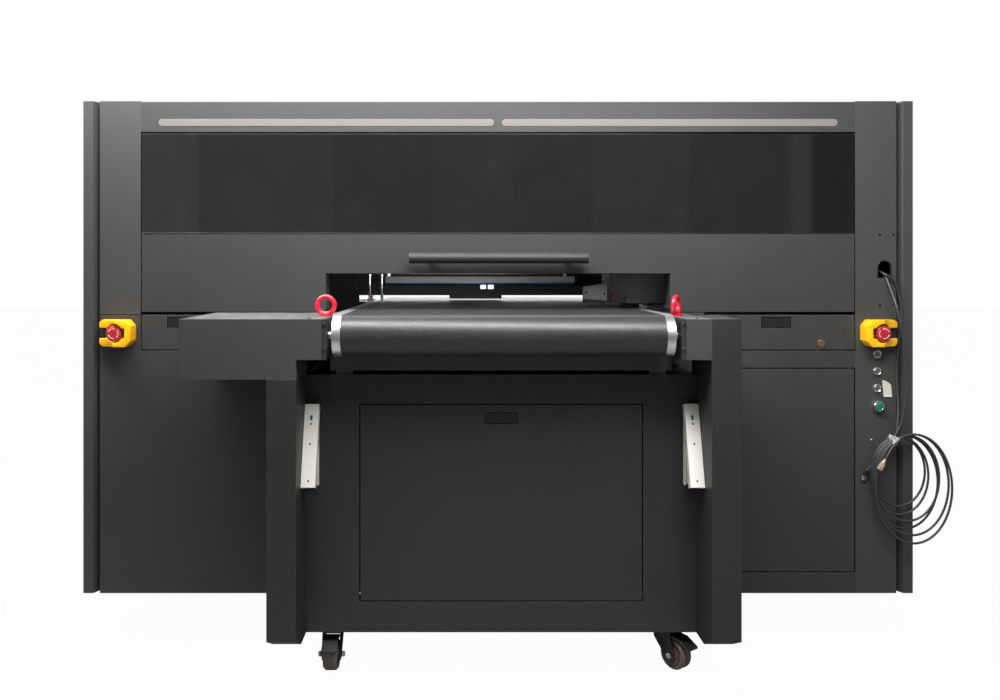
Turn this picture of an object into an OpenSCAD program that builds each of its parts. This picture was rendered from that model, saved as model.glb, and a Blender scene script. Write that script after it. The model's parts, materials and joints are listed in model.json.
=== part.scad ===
// Belt-fed flatbed UV printer: a wide printing body on a conveyor stand.
// +Z is up, +X runs along the body, -Y is the operator's side.
// The origin is on the floor below the middle of the machine.

/* [Body] */
// Overall width over the side covers
machine_w = 2200; // [2100:10:2700]
// Depth of the printing body
body_d = 800; // [780:10:980]
// Height of the columns above the floor
machine_h = 1440; // [1420:5:1750]
// Height of the body's lower edge above the floor
body_z = 135; // [128:1:165]
// Thickness of the sheet metal
sheet = 2.5; // [1.5:0.1:3.5]
// Width of a column's front face
column_w = 108; // [100:1:132]
// Depth of a column's folded sides
column_d = 60; // [50:1:72]
// Width of a side cover's flat front lip
lip_w = 26; // [18:1:34]
// Width of the groove between lip and column
groove_w = 18; // [12:1:24]
// Depth of that groove
groove_d = 35; // [25:1:42]

/* [Header and hood] */
// Height of the header above the hood
header_h = 80; // [70:1:100]
// Height of an LED light bar
light_h = 19; // [14:1:24]
// Height of the window's lower edge above the floor
window_z = 1089; // [1060:1:1200]
// Thickness of the smoked window
window_t = 6; // [4:0.5:8]
// Height of the hood's lower edge above the floor
hood_z = 881; // [881:1:884]
// Width of the media tunnel
tunnel_w = 914; // [900:2:960]
// Height of the tunnel's upper edge above the floor
tunnel_top_z = 983; // [960:1:1000]
// Diameter of the hood handle
handle_d = 28; // [22:1:34]
// Length of the hood handle
handle_l = 468; // [390:2:560]
// Height of the hood handle above the floor
handle_z = 1023; // [1015:1:1040]

/* [Conveyor and stand] */
// Depth over both conveyor ends
stand_d = 1440; // [1400:10:1720]
// Width of the belt
belt_w = 752; // [720:2:800]
// Thickness of the belt
belt_t = 2; // [1.5:0.1:2.5]
// Height of the conveyor covers' top above the floor
table_z = 879; // [876:1:880]
// Diameter of the conveyor rollers
roller_d = 94; // [84:1:96]
// Diameter of the rollers' shaft ends
shaft_d = 20; // [16:1:25]
// Width of a stand post
post_w = 68; // [56:1:80]
// Height of the cabinet's top above the floor
cabinet_top = 736; // [700:1:736]
// Height of the cabinet's bottom above the floor
cabinet_z = 104; // [104:1:110]
// Width of the cabinet door
cabinet_door_w = 690; // [600:2:700]
// Height of the cabinet door
cabinet_door_h = 479; // [400:1:500]

/* [Casters] */
// Diameter of a caster wheel
wheel_d = 75; // [65:1:75]
// Width of a caster wheel
wheel_w = 36; // [30:1:38]
// Trail from swivel axis to wheel axle
caster_trail = 28; // [20:1:32]
// Swivel angle of the right front caster
right_caster_angle = 38; // [0:1:60]

/* [Controls] */
// Diameter of an emergency-stop head
estop_d = 40; // [36:1:44]
// Diameter of a metal push button
button_d = 22; // [19:1:25]
// Diameter of the green button's bezel
green_d = 29; // [26:1:32]
// Width of the cable hole
cable_hole_w = 35; // [30:1:38]
// Height of the cable hole
cable_hole_h = 46; // [40:1:52]
// Diameter of the display-bracket holes
bracket_hole_d = 6; // [5:0.5:8]

/* [Print gantry] */
// Length of the print carriage
carriage_l = 600; // [500:2:640]
// Height of the carriage's underside above the floor
carriage_z = 900; // [898:1:910]
// Diameter of the vertical lift rods
lift_rod_d = 24; // [20:1:28]
// Number of print heads
head_count = 6; // [4:1:6]

/* [Hidden] */

// Clearances
seam = 3;          // visible gap round a door, a flap or the hood
run = 0.05;        // radial running clearance of a shaft in its bore
fit = 0.3;         // clearance of a part seated in a cut-out
weld = 0.05;       // gap between two bars at a weld
skin_gap = 0.4;    // gap between the belt's inside and a roller

// Body planes
half_w = machine_w / 2;
front = -body_d / 2;
back = body_d / 2;
column_out = half_w - lip_w - groove_w;
column_in = column_out - column_w;
body_top = machine_h - 2 * sheet;
header_z = machine_h - 2 - header_h;
hood_top = header_z - 5;
hood_hw = column_in - seam;
tunnel_hw = tunnel_w / 2;
jamb_d = 69;

// Hinges: the axis lies hinge_in behind a leaf's face and hinge_up from its edge
leaf_t = 18;
hinge_in = 8;
hinge_up = 15;
pin_r = 3;
hood_axis_y = front + 12;
hood_axis_z = hood_top - 20;
hood_pin_r = 4;

// LED light bars: [centre, length]
light_z = header_z + 25;
light_gap = 21;
light_margin = 48;
light_l = (2 * column_in - 2 * light_margin - light_gap) / 2;
light_places = [[-(light_l + light_gap) / 2, light_l], [(light_l + light_gap) / 2, light_l]];

// Conveyor, from the belt outwards
belt_hw = belt_w / 2;
belt_r = roller_d / 2 + belt_t;
roller_y = stand_d / 2 - belt_r;
belt_top = table_z + 8;
roller_z = belt_top - belt_r;
ring_w = 20;
rail_in = belt_hw + 33;
rail_t = 11;
rail_out = rail_in + rail_t;
post_in = rail_out + 58;
post_out = post_in + post_w;
drive_box_out = post_out + 201;
cover_z = table_z - 94;
drive_box_z = table_z - 139;
stand_front = -stand_d / 2;
post_d = 180;
cabinet_front = stand_front + 139;

// Lifting eyes
eye_x = tunnel_hw - 26;
eye_y = stand_front + 148;
eye_shank_r = 6;

// Doors and flaps of the body
panel_gap_z = table_z - 101;
flap_z = panel_gap_z + 3;
flap_top = table_z - 6;
door_z = 193;
door_top = 730;
door_x0 = post_out + seam;
door_x1 = column_in - 4;
door_axis_x = door_x1 - 12;
left_flap_x0 = -column_in + seam;
left_flap_x1 = -drive_box_out - 2;
cabinet_door_z = 182;
cabinet_axis_z = cabinet_door_z + hinge_up;

// Latches
paddle_w = 76;
paddle_h = 25;
latch_depth = 12;
cabinet_latch_z = cabinet_door_z + cabinet_door_h - 32;
flap_latch_z = flap_top - 20;
left_latch_x = left_flap_x0 + 107;
right_latch_x = door_x0 + 189;
cam_x = right_latch_x + 119;
cam_z = flap_z + 16;
cam_r = 10.5;

// Internal frame
bar = 40;
upright_x = column_in - bar;
inner_x = rail_in - 4;
upright_y = -front - column_d + 10;
cabinet_bar_y = -cabinet_front - 46;
cross_top = cover_z;
rod_x = column_in - 73;
rod_y = -20;

// Casters
caster_x = belt_hw + 44;
caster_y = -stand_front - 200;
plate_t = 3.5;
fork_top = cabinet_z - 12;
axle_z = wheel_d / 2;
axle_r = 5;
king_r = 6;

// Controls on the columns
control_x = (column_in + column_out) / 2 + 3;
estop_z = 826;
guard_d = 45;
guard_w = 90;
guard_h = 70;
stem_r = 8;
button_zs = [769, 724, 679];
green_z = 632;
cable_hole_x = control_x + 19;
cable_hole_z = 971;
bracket_x = control_x + 26;
bracket_z = 991.5;
bracket_dx = 36;
bracket_dz = 187;

// Folding shelf brackets
shelf_x = post_in - 18;
shelf_hinge_z = 655;
shelf_hinge_y = cabinet_front - 12;
shelf_rest = 18;
shelf_arm_l = 190;
shelf_pin_at = 80;
shelf_link_l = 107;
screw_hole_r = 2.5;

// Gantry
beam_y0 = -100;
beam_y1 = 60;
beam_z0 = 1010;
beam_h = 140;
rail_zs = [1035, 1115];
slider_t = 14;
carriage_y0 = -285;
carriage_h = 300;
lamp_l = 80;
cap_gap = 2;
carriage_x0 = max(column_in - 31 - carriage_l, rail_out + cap_gap - lamp_l - 26);
head_w = 44;
head_pitch = (carriage_l - 2 * lamp_l - 40) / head_count;
cap_top = carriage_z - 8;

// Cables: route points, in order, from inside the column to the coil's tie
cable_r = 3;
tube_sides = 8;
route_a = [[1018, -385, 988], [1018, -396, 986], [1022, -408, 981], [1033, -411, 974],
    [1046, -409, 962], [1057, -406, 942], [1064, -405, 915], [1068, -405, 885], [1066, -405, 850],
    [1061, -405, 815], [1058, -405, 780], [1056, -405, 740], [1056, -405, 700], [1057, -406, 660],
    [1055, -413, 620], [1049, -422, 588], [1038, -427, 553]];
route_b = [[1026, -385, 979], [1026, -396, 977], [1027, -406, 971], [1029, -413, 957],
    [1032, -428, 930], [1035, -444, 900], [1039, -450, 868], [1046, -450, 835], [1054, -449, 800],
    [1063, -446, 765], [1068, -442, 725], [1068, -438, 690], [1064, -434, 650], [1058, -433, 615],
    [1050, -433, 588], [1040, -433, 556]];
tail_a = [[1034, -412, 547], [1016, -407, 532], [1000, -405.5, 508], [988, -405.5, 482],
    [977, -405.5, 458]];
tail_b = [[1034, -447, 546], [1020, -452, 533], [1007, -455, 514], [997, -455, 494]];
// Each turn of the coil hangs from the tie as an oval: [half width, half height, centre x, centre z]
turn_small = [71, 91, 1053, 461];
turn_large = [99, 142, 1081, 422];
coil_y0 = -410.5;
coil_y1 = -449;

// --- helpers ---------------------------------------------------------------

module block(lo, hi) {
    translate(lo) cube(hi - lo);
}

module bar_x(r, x0, x1, y, z) {
    translate([x0, y, z]) rotate([0, 90, 0]) cylinder(r = r, h = x1 - x0, $fn = 48);
}

module bar_y(r, y0, y1, x, z) {
    translate([x, y1, z]) rotate([90, 0, 0]) cylinder(r = r, h = y1 - y0, $fn = 48);
}

module bar_z(r, z0, z1, x, y) {
    translate([x, y, z0]) cylinder(r = r, h = z1 - z0, $fn = 48);
}

// A flat outline in X and Z, from y0 to y0 + t
module plate_xz(points, y0, t) {
    translate([0, y0 + t, 0]) rotate([90, 0, 0]) linear_extrude(t) polygon(points);
}

// A flat outline in Y and Z, from x0 to x0 + t
module plate_yz(points, x0, t) {
    translate([x0, 0, 0]) rotate([90, 0, 90]) linear_extrude(t) polygon(points);
}

module both_sides() {
    for (s = [0, 1]) mirror([s, 0, 0]) children();
}

module both_ends() {
    for (s = [0, 1]) mirror([0, s, 0]) children();
}

module slot_y(w, h, y0, y1, x, z) {
    block([x - w / 2 + h / 2, y0, z - h / 2], [x + w / 2 - h / 2, y1, z + h / 2]);
    for (s = [-1, 1]) bar_y(h / 2, y0, y1, x + s * (w - h) / 2, z);
}

// A door leaf or flap: a folded pan, hollow at the back, face at y
module leaf(x0, x1, z0, z1, y, t) {
    difference() {
        block([x0, y, z0], [x1, y + t, z1]);
        block([x0 + sheet, y + sheet, z0 + sheet], [x1 - sheet, y + t + 1, z1 - sheet]);
    }
}

function unit(v) = v / norm(v);

// Catmull-Rom point between b and c
function smooth(a, b, c, d, t) =
    0.5 * (2 * b + (c - a) * t + (2 * a - 5 * b + 4 * c - d) * t * t + (3 * b - a - 3 * c + d) * t * t * t);

function finer(p, n) = [for (i = [0 : len(p) - 2], k = [0 : n - 1])
    smooth(p[max(i - 1, 0)], p[i], p[i + 1], p[min(i + 2, len(p) - 1)], k / n), p[len(p) - 1]];

// A round tube swept along points
module tube(points, r) {
    n = len(points);
    rings = [for (i = [0 : n - 1])
        let (t = unit(points[min(i + 1, n - 1)] - points[max(i - 1, 0)]),
             u = unit(cross(t, [1, 0.2, 0])), v = cross(t, u))
        for (k = [0 : tube_sides - 1])
            points[i] + r * cos(360 * k / tube_sides) * u + r * sin(360 * k / tube_sides) * v];
    sides = [for (i = [0 : n - 2], k = [0 : tube_sides - 1])
        let (a = i * tube_sides + k, b = i * tube_sides + (k + 1) % tube_sides)
        [a, a + tube_sides, b + tube_sides, b]];
    first = [for (k = [0 : tube_sides - 1]) k];
    last = [for (k = [tube_sides - 1 : -1 : 0]) (n - 1) * tube_sides + k];
    polyhedron(concat(rings), concat(sides, [first], [last]), convexity = 6);
}

// --- fixed structure ---------------------------------------------------------

// Square bars, each its own piece, a hair apart at the welds
module base_frame() color("#3a3a3c") {
    floor_bar_z = cabinet_z + 3 + bar;
    ring_z = body_top - sheet - bar;
    frame_uprights(floor_bar_z, ring_z);
    both_sides() {
        // long bars of the stand
        block([inner_x - bar, -cabinet_bar_y - bar, cabinet_z + 3], [inner_x, cabinet_bar_y + bar,
            floor_bar_z - weld]);
        // side bars that carry the lift rods, and bars for the capping station
        for (z = [cross_top - bar, ring_z]) {
            block([upright_x, -upright_y + bar + weld, z], [column_in, upright_y - bar - weld, z + bar]);
            block([rod_x - 30, rod_y - 20, z], [upright_x - weld, rod_y + 20, z + bar]);
        }
        block([upright_x - 260, -upright_y + bar + weld, cross_top - bar], [upright_x - 220,
            upright_y - bar - weld, cross_top]);
        bar_z(lift_rod_d / 2, cross_top + weld, ring_z - weld, rod_x, rod_y);
    }
    both_ends() {
        // floor bars of the body, resting on the stand
        block([-column_in, upright_y - bar, floor_bar_z], [column_in, upright_y, floor_bar_z + bar]);
        // cross bars under the conveyor rails
        block([-rail_out, cabinet_bar_y, cross_top - bar], [rail_out, cabinet_bar_y + bar, cross_top]);
        block([-upright_x + weld, upright_y - bar, cross_top - bar], [upright_x - weld, upright_y,
            cross_top]);
        // top ring
        block([-column_in, upright_y - bar, ring_z], [column_in, upright_y, ring_z + bar]);
    }
}

// Uprights of the body, and the inner ones of the stand and its cabinets
module frame_uprights(floor_bar_z, ring_z) both_sides() both_ends() {
    block([upright_x, upright_y - bar, floor_bar_z + bar + weld], [column_in, upright_y, ring_z - weld]);
    block([inner_x - bar, upright_y - bar, floor_bar_z + bar + weld], [inner_x, upright_y,
        cross_top - bar - weld]);
    block([inner_x - bar, cabinet_bar_y, floor_bar_z], [inner_x, cabinet_bar_y + bar,
        cross_top - bar - weld]);
}

// A column: a folded channel, open at the back, from z0 up to the top
module column(z0) {
    difference() {
        block([column_in, front, z0], [column_out, front + column_d, machine_h]);
        block([column_in + sheet, front + sheet, z0 - 1], [column_out - sheet, front + column_d + 1,
            machine_h - sheet]);
        bar_x(hood_pin_r + run, column_in - 1, column_in + sheet + 1, hood_axis_y, hood_axis_z);
    }
}

module left_column() color("#4b4c4d") mirror([1, 0, 0]) column(table_z - 4);

module right_column() color("#4b4c4d") difference() {
    column(body_z);
    // arched hole where the cables come out
    block([cable_hole_x - cable_hole_w / 2, front - 1, cable_hole_z], [cable_hole_x + cable_hole_w / 2,
        front + sheet + 1, cable_hole_z + cable_hole_h - cable_hole_w / 2]);
    bar_y(cable_hole_w / 2, front - 1, front + sheet + 1, cable_hole_x,
        cable_hole_z + cable_hole_h - cable_hole_w / 2);
    for (sx = [-1, 1], sz = [-1, 1])
        bar_y(bracket_hole_d / 2, front - 1, front + sheet + 1, bracket_x + sx * bracket_dx / 2,
            bracket_z + sz * bracket_dz / 2);
    bar_y(11 + run, front - 1, front + sheet + 1, control_x, estop_z);
    for (z = button_zs) bar_y(button_d / 2 - 2 + run, front - 1, front + sheet + 1, control_x, z);
    bar_y(11 + run, front - 1, front + sheet + 1, control_x, green_z);
    // pin hole of the right flap
    bar_x(pin_r + run, column_in - 1, column_in + sheet + 1, front + hinge_in, flap_z + hinge_up);
}

module side_covers() color("#47494a") both_sides() {
    // outer skin, front lip, slanted groove wall and the flange on the column
    translate([0, 0, body_z]) linear_extrude(machine_h - body_z - sheet)
        polygon([[half_w, front], [half_w, back], [column_out, back], [column_out, back - sheet],
            [half_w - sheet, back - sheet], [half_w - sheet, front + sheet],
            [half_w - lip_w + 1, front + sheet], [column_out + sheet, front + groove_d + 1],
            [column_out + sheet, front + column_d - 2], [column_out, front + column_d - 2],
            [column_out, front + groove_d], [half_w - lip_w, front]]);
    // top closure
    translate([0, 0, machine_h - sheet]) linear_extrude(sheet)
        polygon([[half_w, front], [half_w, back], [column_in + 50, back], [column_in + 50,
            front + column_d + 2], [column_out, front + column_d], [column_out, front + groove_d],
            [half_w - lip_w, front]]);
}

module top_cover() color("#4e5051") difference() {
    union() {
        block([-column_in, front, header_z], [column_in, front + sheet, machine_h - 2]);
        block([-column_in, front, header_z], [column_in, front + 50, header_z + sheet]);
        // roof
        block([-column_in, front, body_top - sheet], [column_in, back - sheet, body_top]);
        block([-column_out, front + column_d + 1, body_top - sheet], [column_out, back - sheet, body_top]);
    }
    for (bar_place = light_places)
        slot_y(bar_place[1] + 2 * fit, light_h + 2 * fit, front - 1, front + sheet + 1, bar_place[0],
            light_z);
}

module light_bars() color("#e9dcd8") for (bar_place = light_places) {
    slot_y(bar_place[1], light_h, front - 1, front + 10, bar_place[0], light_z);
    difference() {
        block([bar_place[0] - bar_place[1] / 2 - 4, front + sheet, light_z - 14],
            [bar_place[0] + bar_place[1] / 2 + 4, front + 14, light_z + 14]);
        slot_y(bar_place[1] + 0.02, light_h + 0.02, front, front + 10.01, bar_place[0], light_z);
    }
}

// Fixed panels: lower left, right surround with its door opening, rear and floor
module body_panels() color("#383a3b") {
    difference() {
        plate_xz([[-column_out, body_z], [-post_in, body_z], [-post_in, drive_box_z],
            [-rail_out - 2, drive_box_z], [-rail_out - 2, table_z], [-drive_box_out, table_z],
            [-drive_box_out, panel_gap_z], [-column_in, panel_gap_z], [-column_in, flap_top],
            [-column_out, flap_top]], front, sheet);
        bar_y(11 + run, front - 1, front + sheet + 1, -control_x, estop_z);
    }
    // folded ends of the left panel: beside the flap, and its outer edge
    difference() {
        union() {
            block([-column_in - sheet, front + sheet, panel_gap_z], [-column_in, front + column_d, flap_top]);
            block([-column_out, front + sheet, body_z], [-column_out + sheet, front + column_d + 5,
                flap_top]);
            block([-drive_box_out, front + sheet, panel_gap_z], [-drive_box_out + sheet,
                front + 30, table_z]);
        }
        bar_x(pin_r + run, -column_out - 1, -rail_out, front + hinge_in, flap_z + hinge_up);
    }
    // right surround
    plate_xz([[post_in, body_z], [column_in, body_z], [column_in, door_z - seam],
        [post_out, door_z - seam], [post_out, door_top + seam], [column_in, door_top + seam],
        [column_in, panel_gap_z], [post_out, panel_gap_z], [post_out, table_z], [rail_out + 2, table_z],
        [rail_out + 2, drive_box_z], [post_in, drive_box_z]], front, sheet);
    difference() {
        union() {
            block([post_out - sheet, front + sheet, panel_gap_z], [post_out, front + 30, table_z]);
            for (z = [door_z - seam - sheet, door_top + seam])
                block([post_out, front + sheet, z], [column_in, front + 22, z + sheet]);
        }
        bar_x(pin_r + run, post_out - 5, post_out + 1, front + hinge_in, flap_z + hinge_up);
        bar_z(pin_r + run, door_z - 20, door_top + 20, door_axis_x, front + hinge_in);
    }
    // rear panel round the tunnel and the rear cabinet
    plate_xz([[-column_out, body_z], [-post_in, body_z], [-post_in, drive_box_z],
        [-tunnel_hw, drive_box_z], [-tunnel_hw, tunnel_top_z], [tunnel_hw, tunnel_top_z],
        [tunnel_hw, drive_box_z], [post_in, drive_box_z], [post_in, body_z], [column_out, body_z],
        [column_out, body_top - sheet], [-column_out, body_top - sheet]], back - sheet, sheet);
    // floor pans on both sides of the stand, cut out round the columns
    floor_z = cabinet_z + 3 + bar - sheet;
    both_sides() {
        block([post_in + 1, front + column_d, floor_z], [column_out - sheet, back - sheet,
            floor_z + sheet]);
        block([post_in + 1, front + sheet, floor_z], [column_in, front + column_d, floor_z + sheet]);
    }
}

module stand_post(top_left) {
    // inner pocket opens to the back
    difference() {
        plate_yz([[stand_front, cabinet_z + 33], [stand_front + 69, cabinet_z],
            [stand_front + post_d, cabinet_z], [stand_front + post_d, top_left],
            [stand_front, top_left]], post_in, post_w);
        block([post_in + sheet, stand_front + sheet, cabinet_z + 40], [post_out - sheet,
            stand_front + post_d + 1, top_left - sheet]);
    }
}

module stand_posts() color("#35373a") {
    mirror([1, 0, 0]) stand_post(drive_box_z);
    stand_post(table_z);
    mirror([0, 1, 0]) both_sides() stand_post(table_z);
}

module cabinet_shell(opening_w, opening_h) {
    difference() {
        block([-post_in, cabinet_front, cabinet_z], [post_in, front, cabinet_top]);
        block([-post_in + sheet, cabinet_front + sheet, cabinet_z + sheet], [post_in - sheet, front + 1,
            cabinet_top - sheet]);
        // the frame's uprights pass through the top
        both_sides() block([inner_x - bar, -cabinet_bar_y - bar, cabinet_top - sheet - 1],
            [inner_x, -cabinet_bar_y, cabinet_top + 1]);
        if (opening_w > 0)
            block([-opening_w / 2, cabinet_front - 1, cabinet_door_z - seam], [opening_w / 2,
                cabinet_front + sheet + 1, cabinet_door_z + opening_h + seam]);
    }
    if (opening_w > 0) both_sides() difference() {
        block([opening_w / 2, cabinet_front + sheet, cabinet_door_z], [opening_w / 2 + sheet,
            cabinet_front + 22, cabinet_door_z + opening_h]);
        bar_x(pin_r + run, opening_w / 2 - 1, opening_w / 2 + sheet + 1, cabinet_front + hinge_in,
            cabinet_axis_z);
    }
}

// Front cabinet with its door opening, rear cabinet closed, and the floor between them
module cabinet_shells() color("#333537") {
    cabinet_shell(cabinet_door_w + 2 * seam, cabinet_door_h);
    mirror([0, 1, 0]) cabinet_shell(0, 0);
    block([-post_in, front, cabinet_z], [post_in, back, cabinet_z + sheet]);
}

// --- conveyor ----------------------------------------------------------------

module belt_table() color("#55585a") difference() {
    block([-rail_in, -roller_y + belt_r + 8, belt_top - belt_t - 40],
        [rail_in, roller_y - belt_r - 8, belt_top - belt_t]);
    block([-rail_in + 6, -roller_y + belt_r + 14, belt_top - belt_t - 41],
        [rail_in - 6, roller_y - belt_r - 14, belt_top - belt_t - 6]);
}

module belt_outline(r) {
    translate([-roller_y, 0]) circle(r, $fn = 96);
    translate([roller_y, 0]) circle(r, $fn = 96);
    square([2 * roller_y, 2 * r], center = true);
}

module conveyor_belt() color("#141415")
    translate([-belt_hw, 0, roller_z]) rotate([90, 0, 90]) linear_extrude(belt_w) difference() {
        belt_outline(belt_r);
        belt_outline(belt_r - belt_t);
    }

// Side rails with the rollers' bearings
module conveyor_rails() color("#2d2f31") both_sides() {
    difference() {
        block([rail_in, stand_front, cover_z], [rail_out, -stand_front, table_z]);
        both_ends() bar_x(shaft_d, rail_in - 1, rail_out + 1, -roller_y, roller_z);
    }
    both_ends() difference() {
        bar_x(shaft_d - 0.02, rail_in, rail_out, -roller_y, roller_z);
        bar_x(shaft_d / 2 + run, rail_in - 1, rail_out + 1, -roller_y, roller_z);
    }
}

// Hollow cover from x0 to x1, open towards the body
module end_cover(x0, x1, z0) {
    difference() {
        block([x0, stand_front, z0], [x1, front, table_z]);
        block([x0 + sheet, stand_front + sheet, z0 + sheet], [x1 - sheet, front + 1, table_z - sheet]);
        bar_z(eye_shank_r + 0.5, table_z - sheet - 1, table_z + 1, eye_x, eye_y);
    }
}

module conveyor_covers() color("#303234") {
    // drive box on the left, with its deeper part over the post
    difference() {
        mirror([1, 0, 0]) union() {
            end_cover(rail_out, drive_box_out, cover_z);
            difference() {
                block([post_in, stand_front, drive_box_z], [drive_box_out, front, cover_z + sheet]);
                block([post_in + sheet, stand_front + sheet, drive_box_z + sheet],
                    [drive_box_out - sheet, front + 1, cover_z + sheet + 1]);
            }
        }
        block([-drive_box_out + sheet, stand_front + sheet, cover_z - 1], [-post_in - sheet, front + 1,
            cover_z + sheet + 1]);
        bar_x(shaft_d / 2 + 2, -rail_out - sheet - 1, -rail_out + 1, -roller_y, roller_z);
    }
    // small covers beside the rails
    for (place = [[0, 0], [0, 1], [1, 1]]) mirror([place[0], 0, 0]) mirror([0, place[1], 0]) difference() {
        end_cover(rail_out, post_in, cover_z);
        bar_x(shaft_d / 2 + 2, rail_out - 1, rail_out + sheet + 1, -roller_y, roller_z);
    }
}

// Gearmotor in the drive box, on the end of the front roller's shaft
module belt_motor() color("#6d7073") difference() {
    union() {
        block([-rail_out - 134, -roller_y - 38, roller_z - 38], [-rail_out - 49, -roller_y + 38,
            roller_z + 38]);
        bar_x(36, -rail_out - 300, -rail_out - 133, -roller_y, roller_z);
        // foot on the drive box's floor
        block([-rail_out - 134, -roller_y - 38, cover_z + sheet], [-rail_out - 60, -roller_y + 38,
            roller_z - 37]);
    }
    bar_x(shaft_d / 2 + run, -rail_out - 110, -rail_out, -roller_y, roller_z);
}

module conveyor_roller(shaft_left) {
    difference() {
        union() {
            bar_x(roller_d / 2 - skin_gap, -belt_hw, belt_hw, -roller_y, roller_z);
            both_sides() bar_x(belt_r, belt_hw + 1, belt_hw + 1 + ring_w, -roller_y, roller_z);
            both_sides() bar_x(roller_d / 2 - 8, belt_hw - 1, belt_hw + 2, -roller_y, roller_z);
            bar_x(shaft_d / 2, -shaft_left, rail_out + 20, -roller_y, roller_z);
        }
        both_sides() difference() {
            bar_x(roller_d / 2 - 8, belt_hw + 5, belt_hw + 2 + ring_w, -roller_y, roller_z);
            bar_x(shaft_d / 2 + 6, belt_hw + 4, belt_hw + 3 + ring_w, -roller_y, roller_z);
        }
    }
}

module front_roller() color("#b9bcbe") conveyor_roller(rail_out + 105);

module rear_roller() color("#b9bcbe") mirror([0, 1, 0]) conveyor_roller(rail_out + 20);

module lifting_eye(angle) {
    translate([0, 0, table_z + 26]) rotate([90, 0, angle])
        rotate_extrude($fn = 64) translate([21, 0]) circle(6, $fn = 24);
    translate([0, 0, table_z]) cylinder(r = 15, h = 7, $fn = 48);
    translate([0, 0, table_z - 30]) cylinder(r = eye_shank_r, h = 32, $fn = 32);
}

module lifting_eyes() color("#e0263f") {
    translate([-eye_x, eye_y, 0]) lifting_eye(0);
    translate([eye_x, eye_y, 0]) lifting_eye(60);
    both_sides() translate([eye_x, -eye_y, 0]) lifting_eye(90);
}

// --- body interior -------------------------------------------------------------

// Ink tanks on their tray, and the capping station below the parked heads
module ink_system() color("#8f9498") {
    tray_z = 390;
    tray_y0 = -upright_y;
    difference() {
        block([inner_x, tray_y0, tray_z], [upright_x, tray_y0 + 190, tray_z + 30]);
        block([inner_x + 3, tray_y0 + 3, tray_z + 3], [upright_x - 3, tray_y0 + 187, tray_z + 31]);
    }
    tank_w = 88;
    for (i = [0 : 3]) translate([inner_x + 28 + i * 106, tray_y0 + 20, tray_z + 3]) {
        cube([tank_w, 150, 190]);
        translate([tank_w / 2, 40, 189]) cylinder(r = 20, h = 25, $fn = 48);
    }
    // capping station: legs, tray and one cap under each head
    cap_x0 = carriage_x0 + lamp_l + 30;
    cap_x1 = carriage_x0 + carriage_l - lamp_l - 30;
    cap_leg_x = upright_x - 240;
    block([cap_leg_x - 15, -220, cross_top], [cap_leg_x + 15, -170, cap_top - 34]);
    block([cap_x0, -262, cap_top - 35], [cap_x1, -128, cap_top - 20]);
    for (i = [0 : head_count - 1])
        difference() {
            block([head_x(i) - 2, -252, cap_top - 21], [head_x(i) + head_w + 2, -138, cap_top]);
            block([head_x(i) + 3, -247, cap_top - 12], [head_x(i) + head_w - 3, -143, cap_top + 1]);
        }
}

function head_x(i) = carriage_x0 + lamp_l + 20 + (i + 0.5) * head_pitch - head_w / 2;

module control_box() color("#9aa0a4") {
    y0 = -upright_y;
    z0 = cabinet_z + 3 + 2 * bar;
    difference() {
        block([-upright_x + 40, y0, z0], [-inner_x - 40, y0 + 220, z0 + 480]);
        block([-upright_x + 42, y0 - 1, z0 + 2], [-inner_x - 42, y0 + 218, z0 + 478]);
    }
    // mounting plate with the drives and the power supply
    block([-upright_x + 42, y0 + 208, z0 + 2], [-inner_x - 42, y0 + 218, z0 + 478]);
    for (i = [0 : 3]) block([-upright_x + 70 + i * 80, y0 + 90, z0 + 260], [-upright_x + 125 + i * 80,
        y0 + 208, z0 + 430]);
    block([-upright_x + 80, y0 + 80, z0 + 40], [-upright_x + 320, y0 + 208, z0 + 170]);
}

module hinge_pins() color("#a9adb0") {
    // hood
    both_sides() bar_x(hood_pin_r, hood_hw - 22, column_in + sheet, hood_axis_y, hood_axis_z);
    // flaps
    for (span = [[left_flap_x0 - seam - sheet, left_flap_x0 + 18],
        [left_flap_x1 - 18, left_flap_x1 + 2 + sheet], [post_out - sheet, door_x0 + 18],
        [hood_hw - 18, column_in + sheet]])
        bar_x(pin_r, span[0], span[1], front + hinge_in, flap_z + hinge_up);
    // right door
    for (span = [[door_z - seam - sheet, door_z + 18], [door_top - 18, door_top + seam + sheet]])
        bar_z(pin_r, span[0], span[1], door_axis_x, front + hinge_in);
    // cabinet door
    both_sides() bar_x(pin_r, cabinet_door_w / 2 - 18, cabinet_door_w / 2 + seam + sheet,
        cabinet_front + hinge_in, cabinet_axis_z);
    // folding brackets
    both_sides() bar_x(pin_r, shelf_x - 19, shelf_x + 17.5, shelf_hinge_y, shelf_hinge_z);
}

// --- hood --------------------------------------------------------------------

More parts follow.
